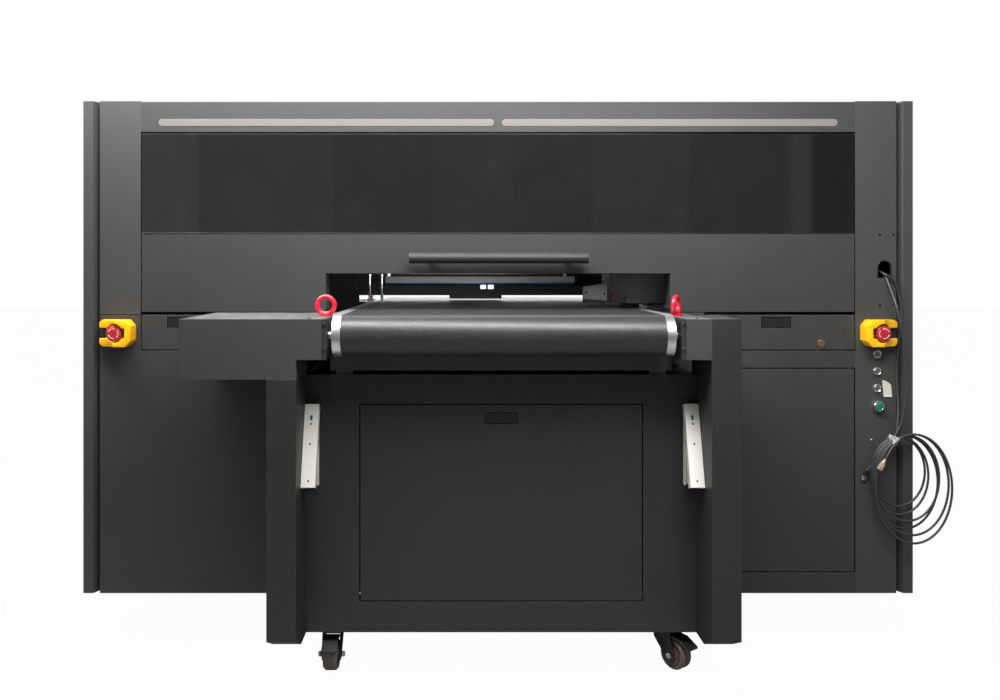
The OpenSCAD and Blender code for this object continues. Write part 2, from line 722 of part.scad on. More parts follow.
module hood_panel() color("#424445") difference() {
    union() {
        plate_xz([[-hood_hw, hood_z], [-tunnel_hw, hood_z], [-tunnel_hw, tunnel_top_z],
            [tunnel_hw, tunnel_top_z], [tunnel_hw, hood_z], [hood_hw, hood_z], [hood_hw, window_z],
            [-hood_hw, window_z]], front, sheet);
        // folded edges, jambs and soffit of the tunnel
        both_sides() {
            block([hood_hw - sheet, front + sheet, hood_z], [hood_hw, front + 18, window_z]);
            block([tunnel_hw, front + sheet, hood_z], [hood_hw, front + 18, hood_z + sheet]);
            block([tunnel_hw, front + sheet, hood_z + 6], [tunnel_hw + sheet, front + jamb_d,
                tunnel_top_z + sheet]);
            // stile behind the window's end
            block([hood_hw - 30, front + window_t, window_z - 28], [hood_hw, front + 18, hood_top]);
        }
        block([-tunnel_hw, front + sheet, tunnel_top_z], [tunnel_hw, front + jamb_d,
            tunnel_top_z + sheet]);
        block([-hood_hw, front + window_t, window_z - 28], [hood_hw, front + 18, window_z]);
        block([-hood_hw, front + window_t, hood_top - 30], [hood_hw, front + 18, hood_top]);
    }
    both_sides() bar_x(hood_pin_r + run, hood_hw - 26, hood_hw + 1, hood_axis_y, hood_axis_z);
    // holes for the handle's screws
    both_sides() bar_y(3, front - 1, front + sheet + 1, handle_l / 2 - 54, handle_z);
}

module hood_window() color([0.05, 0.05, 0.06, 0.9])
    block([-hood_hw, front, window_z + 1], [hood_hw, front + window_t, hood_top]);

module hood_handle() color("#3c3e40") {
    handle_y = front - 36;
    bar_x(handle_d / 2, -handle_l / 2, handle_l / 2, handle_y, handle_z);
    both_sides() bar_y(8, handle_y, front, handle_l / 2 - 54, handle_z);
}

// --- doors and flaps -------------------------------------------------------------

// A recess for a paddle latch: an opening with a cup behind it
module latch_cup(x, z, y) {
    difference() {
        block([x - paddle_w / 2 - 4, y + sheet, z - paddle_h / 2 - 4], [x + paddle_w / 2 + 4,
            y + latch_depth + 1.5, z + paddle_h / 2 + 4]);
        latch_hole(x, z, y);
    }
}

module latch_hole(x, z, y) {
    block([x - paddle_w / 2 - 2, y - 1, z - paddle_h / 2 - 2], [x + paddle_w / 2 + 2, y + latch_depth,
        z + paddle_h / 2 + 2]);
}

// The paddle swings out about its upper edge
module paddle(x, z, y) {
    block([x - paddle_w / 2, y + 1, z - paddle_h / 2], [x + paddle_w / 2, y + 3.5, z + paddle_h / 2]);
    bar_x(2, x - paddle_w / 2 - 1.5, x + paddle_w / 2 + 1.5, y + 3, z + paddle_h / 2 - 2);
}

module right_door() color("#313335") difference() {
    leaf(door_x0, door_x1, door_z, door_top, front, leaf_t);
    bar_z(pin_r + run, door_z - 1, door_top + 1, door_axis_x, front + hinge_in);
}

module left_flap() color("#3b3d3f") {
    difference() {
        leaf(left_flap_x0, left_flap_x1, flap_z, flap_top, front, leaf_t);
        latch_hole(left_latch_x, flap_latch_z, front);
        bar_x(pin_r + run, left_flap_x0 - 1, left_flap_x1 + 1, front + hinge_in, flap_z + hinge_up);
    }
    latch_cup(left_latch_x, flap_latch_z, front);
}

module right_flap() color("#3b3d3f") {
    difference() {
        leaf(door_x0, hood_hw, flap_z, flap_top, front, leaf_t);
        latch_hole(right_latch_x, flap_latch_z, front);
        bar_x(pin_r + run, door_x0 - 1, hood_hw + 1, front + hinge_in, flap_z + hinge_up);
        bar_y(cam_r - 2 + run, front - 1, front + sheet + 1, cam_x, cam_z);
    }
    latch_cup(right_latch_x, flap_latch_z, front);
}

module cabinet_door() color("#2f3133") {
    difference() {
        leaf(-cabinet_door_w / 2, cabinet_door_w / 2, cabinet_door_z, cabinet_door_z + cabinet_door_h,
            cabinet_front, leaf_t);
        latch_hole(0, cabinet_latch_z, cabinet_front);
        both_sides() bar_x(pin_r + run, cabinet_door_w / 2 - sheet - 1, cabinet_door_w / 2 + 1,
            cabinet_front + hinge_in, cabinet_axis_z);
    }
    latch_cup(0, cabinet_latch_z, cabinet_front);
}

module cabinet_door_latch() color("#1d1e1f") paddle(0, cabinet_latch_z, cabinet_front);

module left_flap_latch() color("#1d1e1f") paddle(left_latch_x, flap_latch_z, front);

module right_flap_latch() color("#1d1e1f") paddle(right_latch_x, flap_latch_z, front);

module cam_lock() color("#b98a6a") {
    bar_y(cam_r, front - 2, front, cam_x, cam_z);
    bar_y(cam_r - 2, front - 1, front + 14, cam_x, cam_z);
}

// --- casters -----------------------------------------------------------------

// Mount plate, bearing cup and king pin, at the swivel axis
module caster_mount() {
    translate([-47, -33, cabinet_z - plate_t]) cube([94, 66, plate_t]);
    bar_z(26, fork_top + 0.3, cabinet_z - plate_t, 0, 0);
    bar_z(king_r, fork_top - 7.5, fork_top + 1, 0, 0);
}

// Fork with its axle: the wheel trails towards -Y at angle 0
module caster_fork(trail) {
    difference() {
        union() {
            bar_z(26, fork_top - 5, fork_top, 0, 0);
            for (s = [-1, 1]) plate_yz([[26, fork_top], [-26, fork_top], [-trail - 14, axle_z - 4],
                [-trail - 10, axle_z - 12], [-trail + 10, axle_z - 12], [22, fork_top - 22]],
                s * (wheel_w / 2 + 4) - 1.5, 3);
            translate([-wheel_w / 2 - 5, -26, fork_top - 5]) cube([wheel_w + 10, 48, 5]);
        }
        bar_z(king_r + run, fork_top - 20, fork_top + 1, 0, 0);
    }
    bar_x(axle_r, -wheel_w / 2 - 9, wheel_w / 2 + 9, -trail, axle_z);
}

module caster_wheel(trail) {
    difference() {
        translate([0, -trail, axle_z]) rotate([0, 90, 0]) rotate_extrude($fn = 96)
            polygon([[axle_r + run, -wheel_w / 2 - 1], [axle_r + 6, -wheel_w / 2 - 1],
                [axle_r + 8, -wheel_w / 2 + 4], [wheel_d / 2 - 8, -wheel_w / 2 + 4],
                [wheel_d / 2 - 5, -wheel_w / 2], [wheel_d / 2, -wheel_w / 2 + 6],
                [wheel_d / 2, wheel_w / 2 - 6], [wheel_d / 2 - 5, wheel_w / 2],
                [wheel_d / 2 - 8, wheel_w / 2 - 4], [axle_r + 8, wheel_w / 2 - 4],
                [axle_r + 6, wheel_w / 2 + 1], [axle_r + run, wheel_w / 2 + 1]]);
    }
}

// Pedal above the wheel, on a pin through the fork
module brake_pedal() {
    pedal_w = wheel_w / 2 + 1;
    pivot_y = -24;
    pivot_z = wheel_d + 6;
    bar_x(2.5, -pedal_w - 1, pedal_w + 1, pivot_y, pivot_z);
    plate_yz([[pivot_y + 3, pivot_z - 3], [pivot_y + 3, pivot_z + 3], [-50, pivot_z + 1],
        [-80, pivot_z - 16], [-80, pivot_z - 21], [-50, pivot_z - 4]], -pedal_w, 2 * pedal_w);
}

module at_caster(x, angle) {
    translate([x, -caster_y, 0]) rotate([0, 0, angle]) children();
}

module caster_mounts() color("#202122") {
    at_caster(-caster_x, 0) caster_mount();
    at_caster(caster_x, 0) caster_mount();
    mirror([0, 1, 0]) both_sides() at_caster(caster_x, 0) {
        caster_mount();
        caster_fork(0);
        bar_z(king_r + 1, fork_top - 5, fork_top + 1, 0, 0);
    }
}

module left_caster_fork() color("#1b1c1d") at_caster(-caster_x, 0) caster_fork(caster_trail);

module right_caster_fork() color("#1b1c1d")
    at_caster(caster_x, right_caster_angle) caster_fork(caster_trail);

module front_left_wheel() color("#6b5c55") at_caster(-caster_x, 0) caster_wheel(caster_trail);

module front_right_wheel() color("#6b5c55")
    at_caster(caster_x, right_caster_angle) caster_wheel(caster_trail);

module rear_left_wheel() color("#6b5c55") mirror([0, 1, 0]) at_caster(-caster_x, 0) caster_wheel(0);

module rear_right_wheel() color("#6b5c55") mirror([0, 1, 0]) at_caster(caster_x, 0) caster_wheel(0);

module left_brake_pedal() color("#262728") at_caster(-caster_x, 0) brake_pedal();

module right_brake_pedal() color("#262728") at_caster(caster_x, right_caster_angle) brake_pedal();

// --- controls ------------------------------------------------------------------

// Guard: a thick ring round the head, open towards the machine's outer side
module estop_guard() {
    h = guard_h / 2;
    difference() {
        plate_xz([[control_x - 45, estop_z - 22], [control_x - 32, estop_z - h],
            [control_x + 45, estop_z - h], [control_x + 45, estop_z - 14], [control_x + 30, estop_z - 14],
            [control_x + 30, estop_z + 14], [control_x + 45, estop_z + 14], [control_x + 45, estop_z + h],
            [control_x - 32, estop_z + h], [control_x - 45, estop_z + 22]], front - guard_d, guard_d);
        bar_y(estop_d / 2 + 5, front - guard_d - 1, front - 4, control_x, estop_z);
        block([control_x, front - guard_d - 1, estop_z - 14], [control_x + 46, front - 4, estop_z + 14]);
        bar_y(11 + run, front - 5, front + 1, control_x, estop_z);
    }
}

module estop_guards() color("#f5b800") both_sides() estop_guard();

// Collar, barrel and contact block of each switch
module switch_bodies() color("#c9cccd") {
    both_sides() difference() {
        union() {
            bar_y(14, front - 16, front - 4, control_x, estop_z);
            bar_y(11, front - 5, front + 40, control_x, estop_z);
            block([control_x - 15, front + 38, estop_z - 15], [control_x + 15, front + 62, estop_z + 15]);
        }
        bar_y(stem_r + run, front - 17, front + 30, control_x, estop_z);
    }
    for (z = button_zs) difference() {
        union() {
            bar_y(button_d / 2, front - 3, front, control_x, z);
            bar_y(button_d / 2 - 2, front - 1, front + 34, control_x, z);
        }
        bar_y(button_d / 2 - 4 + run, front - 4, front + 25, control_x, z);
    }
    difference() {
        union() {
            bar_y(green_d / 2, front - 11, front, control_x, green_z);
            bar_y(11, front - 1, front + 40, control_x, green_z);
        }
        bar_y(9 + run, front - 12, front + 30, control_x, green_z);
    }
}

module estop_head() {
    bar_y(estop_d / 2, front - 42, front - 32, control_x, estop_z);
    bar_y(stem_r, front - 33, front + 10, control_x, estop_z);
}

module left_estop_head() color("#c0323c") mirror([1, 0, 0]) estop_head();

module right_estop_head() color("#c0323c") estop_head();

module metal_button(z) {
    bar_y(button_d / 2 - 4, front - 5, front + 15, control_x, z);
}

module top_button() color("#b7b2a6") metal_button(button_zs[0]);

module middle_button() color("#b7b2a6") metal_button(button_zs[1]);

module lower_button() color("#b7b2a6") metal_button(button_zs[2]);

module green_button() color("#0f7a4a") bar_y(9, front - 16, front + 15, control_x, green_z);

// --- folding shelf brackets ---------------------------------------------------------

// Channel screwed to the cabinet's front
module shelf_bracket_leg() {
    difference() {
        block([shelf_x - 14, cabinet_front - 18, shelf_hinge_z - 187], [shelf_x + 14, cabinet_front,
            shelf_hinge_z + 9]);
        block([shelf_x - 12, cabinet_front - 19, shelf_hinge_z - 188], [shelf_x + 12, cabinet_front - 2,
            shelf_hinge_z + 10]);
        bar_x(pin_r + run, shelf_x - 15, shelf_x + 15, shelf_hinge_y, shelf_hinge_z);
    }
}

module shelf_bracket_legs() color("#e6e4da") both_sides() shelf_bracket_leg();

module tilted_arm() {
    translate([0, shelf_hinge_y, shelf_hinge_z]) rotate([-shelf_rest, 0, 0]) children();
}

// Arm: a channel over the leg, with a long slot and screw holes in its face
module shelf_arm() tilted_arm() difference() {
    translate([shelf_x - 17, -14, -shelf_arm_l]) cube([34, 21, shelf_arm_l + 8]);
    translate([shelf_x - 15, -12, -shelf_arm_l - 1]) cube([30, 30, shelf_arm_l + 20]);
    bar_x(pin_r + run, shelf_x - 20, shelf_x + 20, 0, 0);
    bar_x(pin_r + run, shelf_x - 20, shelf_x + 20, 0, -shelf_pin_at);
    block([shelf_x - 3, -15, -30.5], [shelf_x + 3, -11, -19.5]);
    for (z = [-40, -88, -175]) bar_y(screw_hole_r, -15, -11, shelf_x, z);
}

module left_shelf_arm() color("#eceadf") mirror([1, 0, 0]) shelf_arm();

module right_shelf_arm() color("#eceadf") shelf_arm();

// Link: from a pin in the arm down to the leg's channel
module shelf_link() tilted_arm() translate([0, 0, -shelf_pin_at]) {
    lean = shelf_rest + asin(shelf_pin_at * sin(shelf_rest) / shelf_link_l);
    bar_x(pin_r, shelf_x - 17, shelf_x + 17, 0, 0);
    rotate([lean, 0, 0]) {
        block([shelf_x - 3, -4, -shelf_link_l], [shelf_x + 3, 4, 5]);
        bar_x(pin_r, shelf_x - 9, shelf_x + 9, 0, -shelf_link_l + 4);
    }
}

module left_shelf_link() color("#d9d7cc") mirror([1, 0, 0]) shelf_link();

module right_shelf_link() color("#d9d7cc") shelf_link();

// --- print gantry ----------------------------------------------------------------

// Beam with end blocks on the lift rods, two guide rails, magnet track and the media feelers
module gantry_beam() color("#a6abae") {
    beam_x = rod_x - 20;
    difference() {
        union() {
            block([-beam_x, beam_y0, beam_z0], [beam_x, beam_y1, beam_z0 + beam_h]);
            both_sides() block([beam_x - 1, rod_y - 35, beam_z0 + 10], [rod_x + 24, rod_y + 35,
                beam_z0 + 90]);
        }
        block([-beam_x + 30, beam_y0 + 8, beam_z0 + 8], [beam_x - 30, beam_y1 - 8, beam_z0 + beam_h + 1]);
        both_sides() bar_z(lift_rod_d / 2 + run, beam_z0, beam_z0 + 100, rod_x, rod_y);
    }
    for (z = rail_zs) block([-beam_x, beam_y0 - 14, z - 7.5], [beam_x, beam_y0, z + 7.5]);
    block([-beam_x + 10, beam_y0 - 8, 1060], [beam_x - 10, beam_y0, 1090]);
    // rods and bar that hang over the belt, behind the carriage's path
    for (x = [-belt_hw + 16, -belt_hw - 24]) {
        block([x - 10, beam_y1, beam_z0 + 20], [x + 10, 212, beam_z0 + 30]);
        bar_z(4, belt_top + 5, beam_z0 + 21, x, 200);
    }
    block([-belt_hw + 30, 190, 950], [belt_hw - 100, 206, 968]);
    for (x = [-belt_hw + 40, belt_hw - 130]) {
        block([x - 10, beam_y1, beam_z0 + 4], [x + 10, 206, beam_z0 + 12]);
        block([x - 5, 194, 967], [x + 5, 202, beam_z0 + 5]);
    }
}

// Housing open at the bottom plate's head slots, sliders, lamps and edge sensor
module print_carriage() color("#4a4b4e") {
    x0 = carriage_x0;
    x1 = carriage_x0 + carriage_l;
    y1 = beam_y0 - 14 - slider_t;
    top = carriage_z + carriage_h;
    difference() {
        block([x0 + lamp_l, carriage_y0, carriage_z], [x1 - lamp_l, y1, top]);
        block([x0 + lamp_l + 4, carriage_y0 + 4, carriage_z + 6], [x1 - lamp_l - 4, y1 - 6, top - 3]);
        for (i = [0 : head_count - 1])
            block([head_x(i) - fit, -245 - fit, carriage_z - 1], [head_x(i) + head_w + fit, -145 + fit,
                carriage_z + 7]);
    }
    // sliders astride the guide rails
    for (z = rail_zs, x = [x0 + lamp_l + 60, x1 - lamp_l - 120]) difference() {
        block([x, y1, z - 17], [x + 60, beam_y0 - 3, z + 17]);
        block([x - 1, beam_y0 - 14 - 0.2, z - 7.7], [x + 61, beam_y0, z + 7.7]);
    }
    // UV lamps at both ends
    for (x = [x0, x1 - lamp_l]) block([x, carriage_y0 + 5, carriage_z], [x + lamp_l, y1 - 5, carriage_z + 190]);
    // media edge sensor: bracket, plate and its red adjusting knob
    block([x0 - 76, carriage_y0 + 7, carriage_z], [x0, carriage_y0 + 10, carriage_z + 45]);
    bar_y(7.5, carriage_y0 - 7, carriage_y0 + 5, x0 + 46, carriage_z + 8);
}

module print_heads() color("#2b2d30") for (i = [0 : head_count - 1]) {
    block([head_x(i), -245, carriage_z - 4], [head_x(i) + head_w, -145, carriage_z + 90]);
    block([head_x(i) - 4, -252, carriage_z + 6], [head_x(i) + head_w + 4, -138, carriage_z + 14]);
}

// --- cables --------------------------------------------------------------------

module cable_a() color("#2a2b2c") {
    tube(finer(route_a, 2), cable_r);
    tube(tail_a, cable_r);
}

module cable_b() color("#2a2b2c") {
    tube(finer(route_b, 2), cable_r);
    tube(tail_b, cable_r);
}

function oval(turn, grow) = [for (k = [0 : 47])
    [turn[2] + (turn[0] + grow) * cos(7.5 * k), turn[3] + (turn[1] + grow) * sin(7.5 * k)]];

// The hanging coil's outer shape: all turns share their left side and the tie
module cable_coil() color("#242526")
    translate([0, coil_y0, 0]) rotate([90, 0, 0]) linear_extrude(coil_y0 - coil_y1) difference() {
        union() {
            polygon(oval(turn_large, cable_r));
            polygon(oval(turn_small, cable_r));
        }
        intersection() {
            polygon(oval(turn_large, -cable_r));
            polygon(oval(turn_small, -cable_r));
        }
    }

// A plug: boot and metal tip, pointing down at the angle
module plug(at, angle, w, t) {
    translate(at) rotate([0, angle, 0]) {
        translate([-w / 2, -t / 2, -18]) cube([w, t, 19]);
        translate([-w / 2 + 1, -t / 2 + 1, -31]) cube([w - 2, t - 2, 14]);
    }
}

module cable_plugs() color("#c8b06a") {
    plug([997, -455, 495], 24, 13, 9);
    plug([977, -405.5, 459], 24, 15, 8);
}

// --- selection -------------------------------------------------------------------

base_frame();
left_column();
right_column();
side_covers();
top_cover();
light_bars();
body_panels();
stand_posts();
cabinet_shells();
belt_table();
conveyor_belt();
conveyor_rails();
conveyor_covers();
belt_motor();
lifting_eyes();
shelf_bracket_legs();
caster_mounts();
estop_guards();
switch_bodies();
ink_system();
control_box();
hinge_pins();
cable_a();
cable_b();
cable_coil();
cable_plugs();
hood_panel();
hood_window();
hood_handle();
right_door();
left_flap();
right_flap();
cabinet_door();
cabinet_door_latch();
left_flap_latch();
right_flap_latch();
cam_lock();
front_roller();
rear_roller();
left_caster_fork();
right_caster_fork();
front_left_wheel();
front_right_wheel();
rear_left_wheel();
rear_right_wheel();
left_brake_pedal();
right_brake_pedal();
left_estop_head();
right_estop_head();
top_button();
middle_button();
lower_button();
green_button();
left_shelf_arm();
right_shelf_arm();
left_shelf_link();
right_shelf_link();
gantry_beam();
print_carriage();
print_heads();
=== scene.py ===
"""Looks of a belt-fed flatbed UV printer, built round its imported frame.

Everything is in metres in the frame's own axes: +Z up, +X towards the push-button
column, -Y towards the operator.
"""
import json
import math

import bmesh
import bpy
from mathutils import Matrix, Vector


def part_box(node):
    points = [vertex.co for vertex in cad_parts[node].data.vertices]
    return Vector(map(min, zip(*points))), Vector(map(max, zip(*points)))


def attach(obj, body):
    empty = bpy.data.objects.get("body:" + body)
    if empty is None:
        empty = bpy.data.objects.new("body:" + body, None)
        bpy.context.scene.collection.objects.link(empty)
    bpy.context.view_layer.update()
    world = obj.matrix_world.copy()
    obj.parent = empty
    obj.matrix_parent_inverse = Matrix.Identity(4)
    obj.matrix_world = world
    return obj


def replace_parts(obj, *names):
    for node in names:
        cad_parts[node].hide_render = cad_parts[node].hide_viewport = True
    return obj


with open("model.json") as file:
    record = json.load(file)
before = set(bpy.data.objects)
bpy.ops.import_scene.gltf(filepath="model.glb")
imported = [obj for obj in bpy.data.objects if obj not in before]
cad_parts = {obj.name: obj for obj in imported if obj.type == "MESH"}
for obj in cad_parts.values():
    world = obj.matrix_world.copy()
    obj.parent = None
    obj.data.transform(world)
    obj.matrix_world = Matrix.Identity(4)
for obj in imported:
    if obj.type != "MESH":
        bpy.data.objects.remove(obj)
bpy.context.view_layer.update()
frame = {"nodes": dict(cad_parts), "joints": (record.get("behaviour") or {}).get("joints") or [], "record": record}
MM = 0.001


def mm(*values):
    """Millimetres to a point in metres."""
    return tuple(v * MM for v in values)


# --- places taken from the frame -----------------------------------------------

def low(node):
    return Vector(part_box(node)[0])


def high(node):
    return Vector(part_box(node)[1])


def middle(node):
    return (low(node) + high(node)) / 2


FRONT = low("top_cover").y
BACK = high("body_panels").y
HALF_W = high("side_covers").x
TABLE_Z = high("conveyor_covers").z


# --- camera, floor and light -----------------------------------------------------

def build_camera():
    """Level camera in front of the machine, a little left of its middle."""
    data = bpy.data.cameras.new("camera")
    data.lens = 32.4
    data.sensor_width = 36
    data.shift_x = 0.04
    data.shift_y = -0.08
    camera = bpy.data.objects.new("camera", data)
    camera.location = (-0.101, -2.787, 0.992)
    camera.rotation_euler = (math.radians(90), 0, 0)
    bpy.context.scene.collection.objects.link(camera)
    bpy.context.scene.camera = camera


def area_light(name, place, target, size, watts, tint=(1, 1, 1)):
    data = bpy.data.lights.new(name, "AREA")
    data.shape = "RECTANGLE"
    data.size, data.size_y = size
    data.energy = watts
    data.color = tint
    lamp = bpy.data.objects.new(name, data)
    lamp.location = place
    lamp.rotation_euler = (Vector(target) - Vector(place)).to_track_quat("-Z", "Y").to_euler()
    lamp.visible_camera = False
    bpy.context.scene.collection.objects.link(lamp)


def build_lights():
    """A ceiling strip above the front, softer fills, and a white room that is dimmer low down."""
    area_light("ceiling_front", (-0.60, -1.0, 2.05), (-0.3, -0.40, 1.25), (3.4, 0.40), 126)
    area_light("ceiling_back", (0, 2.6, 2.9), (0, 0.3, 0.7), (4.0, 1.6), 44)
    area_light("side_fill", (-3.6, -2.2, 1.9), (-0.2, 0, 0.8), (1.6, 2.2), 6)
    area_light("side_fill_right", (3.6, -1.6, 2.0), (0.4, 0, 0.8), (1.6, 2.2), 4)
    area_light("daylight_behind", (0, 1.7, 0.95), (0, 0.3, 0.90), (1.6, 0.3), 9)
    area_light("tunnel_glow", (-0.15, -0.30, 0.972), (-0.15, 0.2, 0.955), (0.60, 0.02), 0.7)
    world = bpy.data.worlds.new("studio")
    bpy.context.scene.world = world
    world.use_nodes = True
    nodes, links = world.node_tree.nodes, world.node_tree.links
    room = nodes["Background"]
    coordinates = nodes.new("ShaderNodeTexCoord")
    split = nodes.new("ShaderNodeSeparateXYZ")
    links.new(coordinates.outputs["Generated"], split.inputs["Vector"])
    height = nodes.new("ShaderNodeMapRange")
    height.inputs["From Min"].default_value = -0.1
    height.inputs["From Max"].default_value = 0.9
    height.inputs["To Min"].default_value = 0.10
    height.inputs["To Max"].default_value = 0.46
    links.new(split.outputs["Z"], height.inputs["Value"])
    room.inputs["Color"].default_value = (0.94, 0.97, 1.0, 1)
    links.new(height.outputs["Result"], room.inputs["Strength"])
    backdrop = nodes.new("ShaderNodeBackground")
    backdrop.inputs["Color"].default_value = (1, 1, 1, 1)
    backdrop.inputs["Strength"].default_value = 1.0
    path = nodes.new("ShaderNodeLightPath")
    mix = nodes.new("ShaderNodeMixShader")
    links.new(path.outputs["Is Camera Ray"], mix.inputs["Fac"])
    links.new(room.outputs["Background"], mix.inputs[1])
    links.new(backdrop.outputs["Background"], mix.inputs[2])
    links.new(mix.outputs["Shader"], nodes["World Output"].inputs["Surface"])
    bpy.context.scene.view_settings.view_transform = "Standard"


# --- shader node groups: effects that several finishes share --------------------------

def new_group(name, inputs, outputs):
    """An empty shader group with float or vector sockets; inputs are (name, kind, value)."""
    group = bpy.data.node_groups.new(name, "ShaderNodeTree")
    for title, kind, value in inputs:
        socket = group.interface.new_socket(title, in_out="INPUT", socket_type="NodeSocket" + kind)
        if value is not None:
            socket.default_value = value
    for title, kind in outputs:
        group.interface.new_socket(title, in_out="OUTPUT", socket_type="NodeSocket" + kind)
    start = group.nodes.new("NodeGroupInput")
    end = group.nodes.new("NodeGroupOutput")
    return group, start, end


def math_node(tree, operation, a, b=None, clamp=False):
    """A Math node; a and b are sockets or numbers."""
    node = tree.nodes.new("ShaderNodeMath")
    node.operation = operation
    node.use_clamp = clamp
    for slot, value in enumerate((a, b)):
        if isinstance(value, bpy.types.NodeSocket):
            tree.links.new(value, node.inputs[slot])
        elif value is not None:
            node.inputs[slot].default_value = value
    return node.outputs[0]


def noise_node(tree, vector, scale, detail=2.0, roughness=0.5, distortion=0.0):
    node = tree.nodes.new("ShaderNodeTexNoise")
    node.inputs["Detail"].default_value = detail
    node.inputs["Roughness"].default_value = roughness
    node.inputs["Distortion"].default_value = distortion
    tree.links.new(vector, node.inputs["Vector"])
    if isinstance(scale, bpy.types.NodeSocket):
        tree.links.new(scale, node.inputs["Scale"])
    else:
        node.inputs["Scale"].default_value = scale
    return node.outputs["Fac"]


def ramp_node(tree, value, low_end, high_end):
    """value from low_end to high_end becomes 0 to 1, clamped."""
    node = tree.nodes.new("ShaderNodeMapRange")
    node.inputs["From Min"].default_value = low_end
    node.inputs["From Max"].default_value = high_end
    tree.links.new(value, node.inputs["Value"])
    return node.outputs["Result"]


def build_powder_grain():
    """Orange-peel grain of a powder coat, and the slow cloudiness of a sprayed panel."""
    group, start, end = new_group("powder_grain",
                                  [("Vector", "Vector", None), ("Scale", "Float", 700.0)],
                                  [("Height", "Float"), ("Grain", "Float"), ("Cloud", "Float")])
    fine = noise_node(group, start.outputs["Vector"], start.outputs["Scale"], 3.0, 0.6)
    coarse_scale = math_node(group, "MULTIPLY", start.outputs["Scale"], 0.33)
    coarse = noise_node(group, start.outputs["Vector"], coarse_scale, 2.0)
    cloud = noise_node(group, start.outputs["Vector"], 2.3, 3.0, 0.55, 0.4)
    height = math_node(group, "ADD", fine, math_node(group, "MULTIPLY", coarse, 0.7))
    group.links.new(height, end.inputs["Height"])
    group.links.new(ramp_node(group, fine, 0.35, 0.65), end.inputs["Grain"])
    group.links.new(ramp_node(group, cloud, 0.3, 0.7), end.inputs["Cloud"])


def build_edge_wear_and_highlight():
    """Where an edge is: a broken mask along it for lighter edge paint, partly rubbed wear and partly a painted
    highlight of edges catching light, and a normal that rounds it.
    """
    group, start, end = new_group("edge_wear_and_highlight",
                                  [("Vector", "Vector", None), ("Radius", "Float", 0.002),
                                   ("Breakup", "Float", 60.0)],
                                  [("Mask", "Float"), ("Normal", "Vector")])
    bevel = group.nodes.new("ShaderNodeBevel")
    bevel.samples = 3
    group.links.new(start.outputs["Radius"], bevel.inputs["Radius"])
    geometry = group.nodes.new("ShaderNodeNewGeometry")
    dot = group.nodes.new("ShaderNodeVectorMath")
    dot.operation = "DOT_PRODUCT"
    group.links.new(bevel.outputs["Normal"], dot.inputs[0])
    group.links.new(geometry.outputs["True Normal"], dot.inputs[1])
    bend = math_node(group, "SUBTRACT", 1.0, dot.outputs["Value"])
    edge = ramp_node(group, bend, 0.01, 0.22)
    broken = noise_node(group, start.outputs["Vector"], start.outputs["Breakup"], 3.0, 0.6)
    mask = math_node(group, "MULTIPLY", edge, ramp_node(group, broken, 0.25, 0.7), clamp=True)
    group.links.new(mask, end.inputs["Mask"])
    group.links.new(bevel.outputs["Normal"], end.inputs["Normal"])


def build_settled_dust():
    """Dust that lies on surfaces facing up, in loose patches."""
    group, start, end = new_group("settled_dust",
                                  [("Vector", "Vector", None), ("Scale", "Float", 18.0)],
                                  [("Mask", "Float")])
    geometry = group.nodes.new("ShaderNodeNewGeometry")
    split = group.nodes.new("ShaderNodeSeparateXYZ")
    group.links.new(geometry.outputs["Normal"], split.inputs["Vector"])
    up = ramp_node(group, split.outputs["Z"], 0.5, 1.0)
    patches = noise_node(group, start.outputs["Vector"], start.outputs["Scale"], 5.0, 0.65)
    specks = noise_node(group, start.outputs["Vector"], 420.0, 1.0)
    loose = math_node(group, "ADD", ramp_node(group, patches, 0.35, 0.75),
                      ramp_node(group, specks, 0.62, 0.72))
    group.links.new(math_node(group, "MULTIPLY", up, loose, clamp=True), end.inputs["Mask"])


def build_hand_smudges():
    """Faint wiped and touched patches that change the gloss."""
    group, start, end = new_group("hand_smudges",
                                  [("Vector", "Vector", None), ("Scale", "Float", 9.0)],
                                  [("Mask", "Float")])
    big = noise_node(group, start.outputs["Vector"], start.outputs["Scale"], 4.0, 0.6, 1.2)
    fine_scale = math_node(group, "MULTIPLY", start.outputs["Scale"], 9.0)
    fine = noise_node(group, start.outputs["Vector"], fine_scale, 2.0, 0.5, 0.6)
    mask = math_node(group, "MULTIPLY", ramp_node(group, big, 0.42, 0.7),
                     ramp_node(group, fine, 0.2, 0.8), clamp=True)
    group.links.new(mask, end.inputs["Mask"])


def build_brushed_grain():
    """Fine parallel lines of ground or brushed metal; Stretch flattens the lines' own axis."""
    group, start, end = new_group("brushed_grain",
                                  [("Vector", "Vector", None), ("Stretch", "Vector", (1, 1, 1)),
                                   ("Scale", "Float", 500.0)],
                                  [("Lines", "Float"), ("Tone", "Float")])
    scaled = group.nodes.new("ShaderNodeVectorMath")
    scaled.operation = "MULTIPLY"
    group.links.new(start.outputs["Vector"], scaled.inputs[0])
    group.links.new(start.outputs["Stretch"], scaled.inputs[1])
    lines = noise_node(group, scaled.outputs["Vector"], start.outputs["Scale"], 2.0)
    tone = noise_node(group, start.outputs["Vector"], 25.0, 3.0)
    group.links.new(ramp_node(group, lines, 0.3, 0.7), end.inputs["Lines"])
    group.links.new(ramp_node(group, tone, 0.3, 0.7), end.inputs["Tone"])


# --- finishes --------------------------------------------------------------------

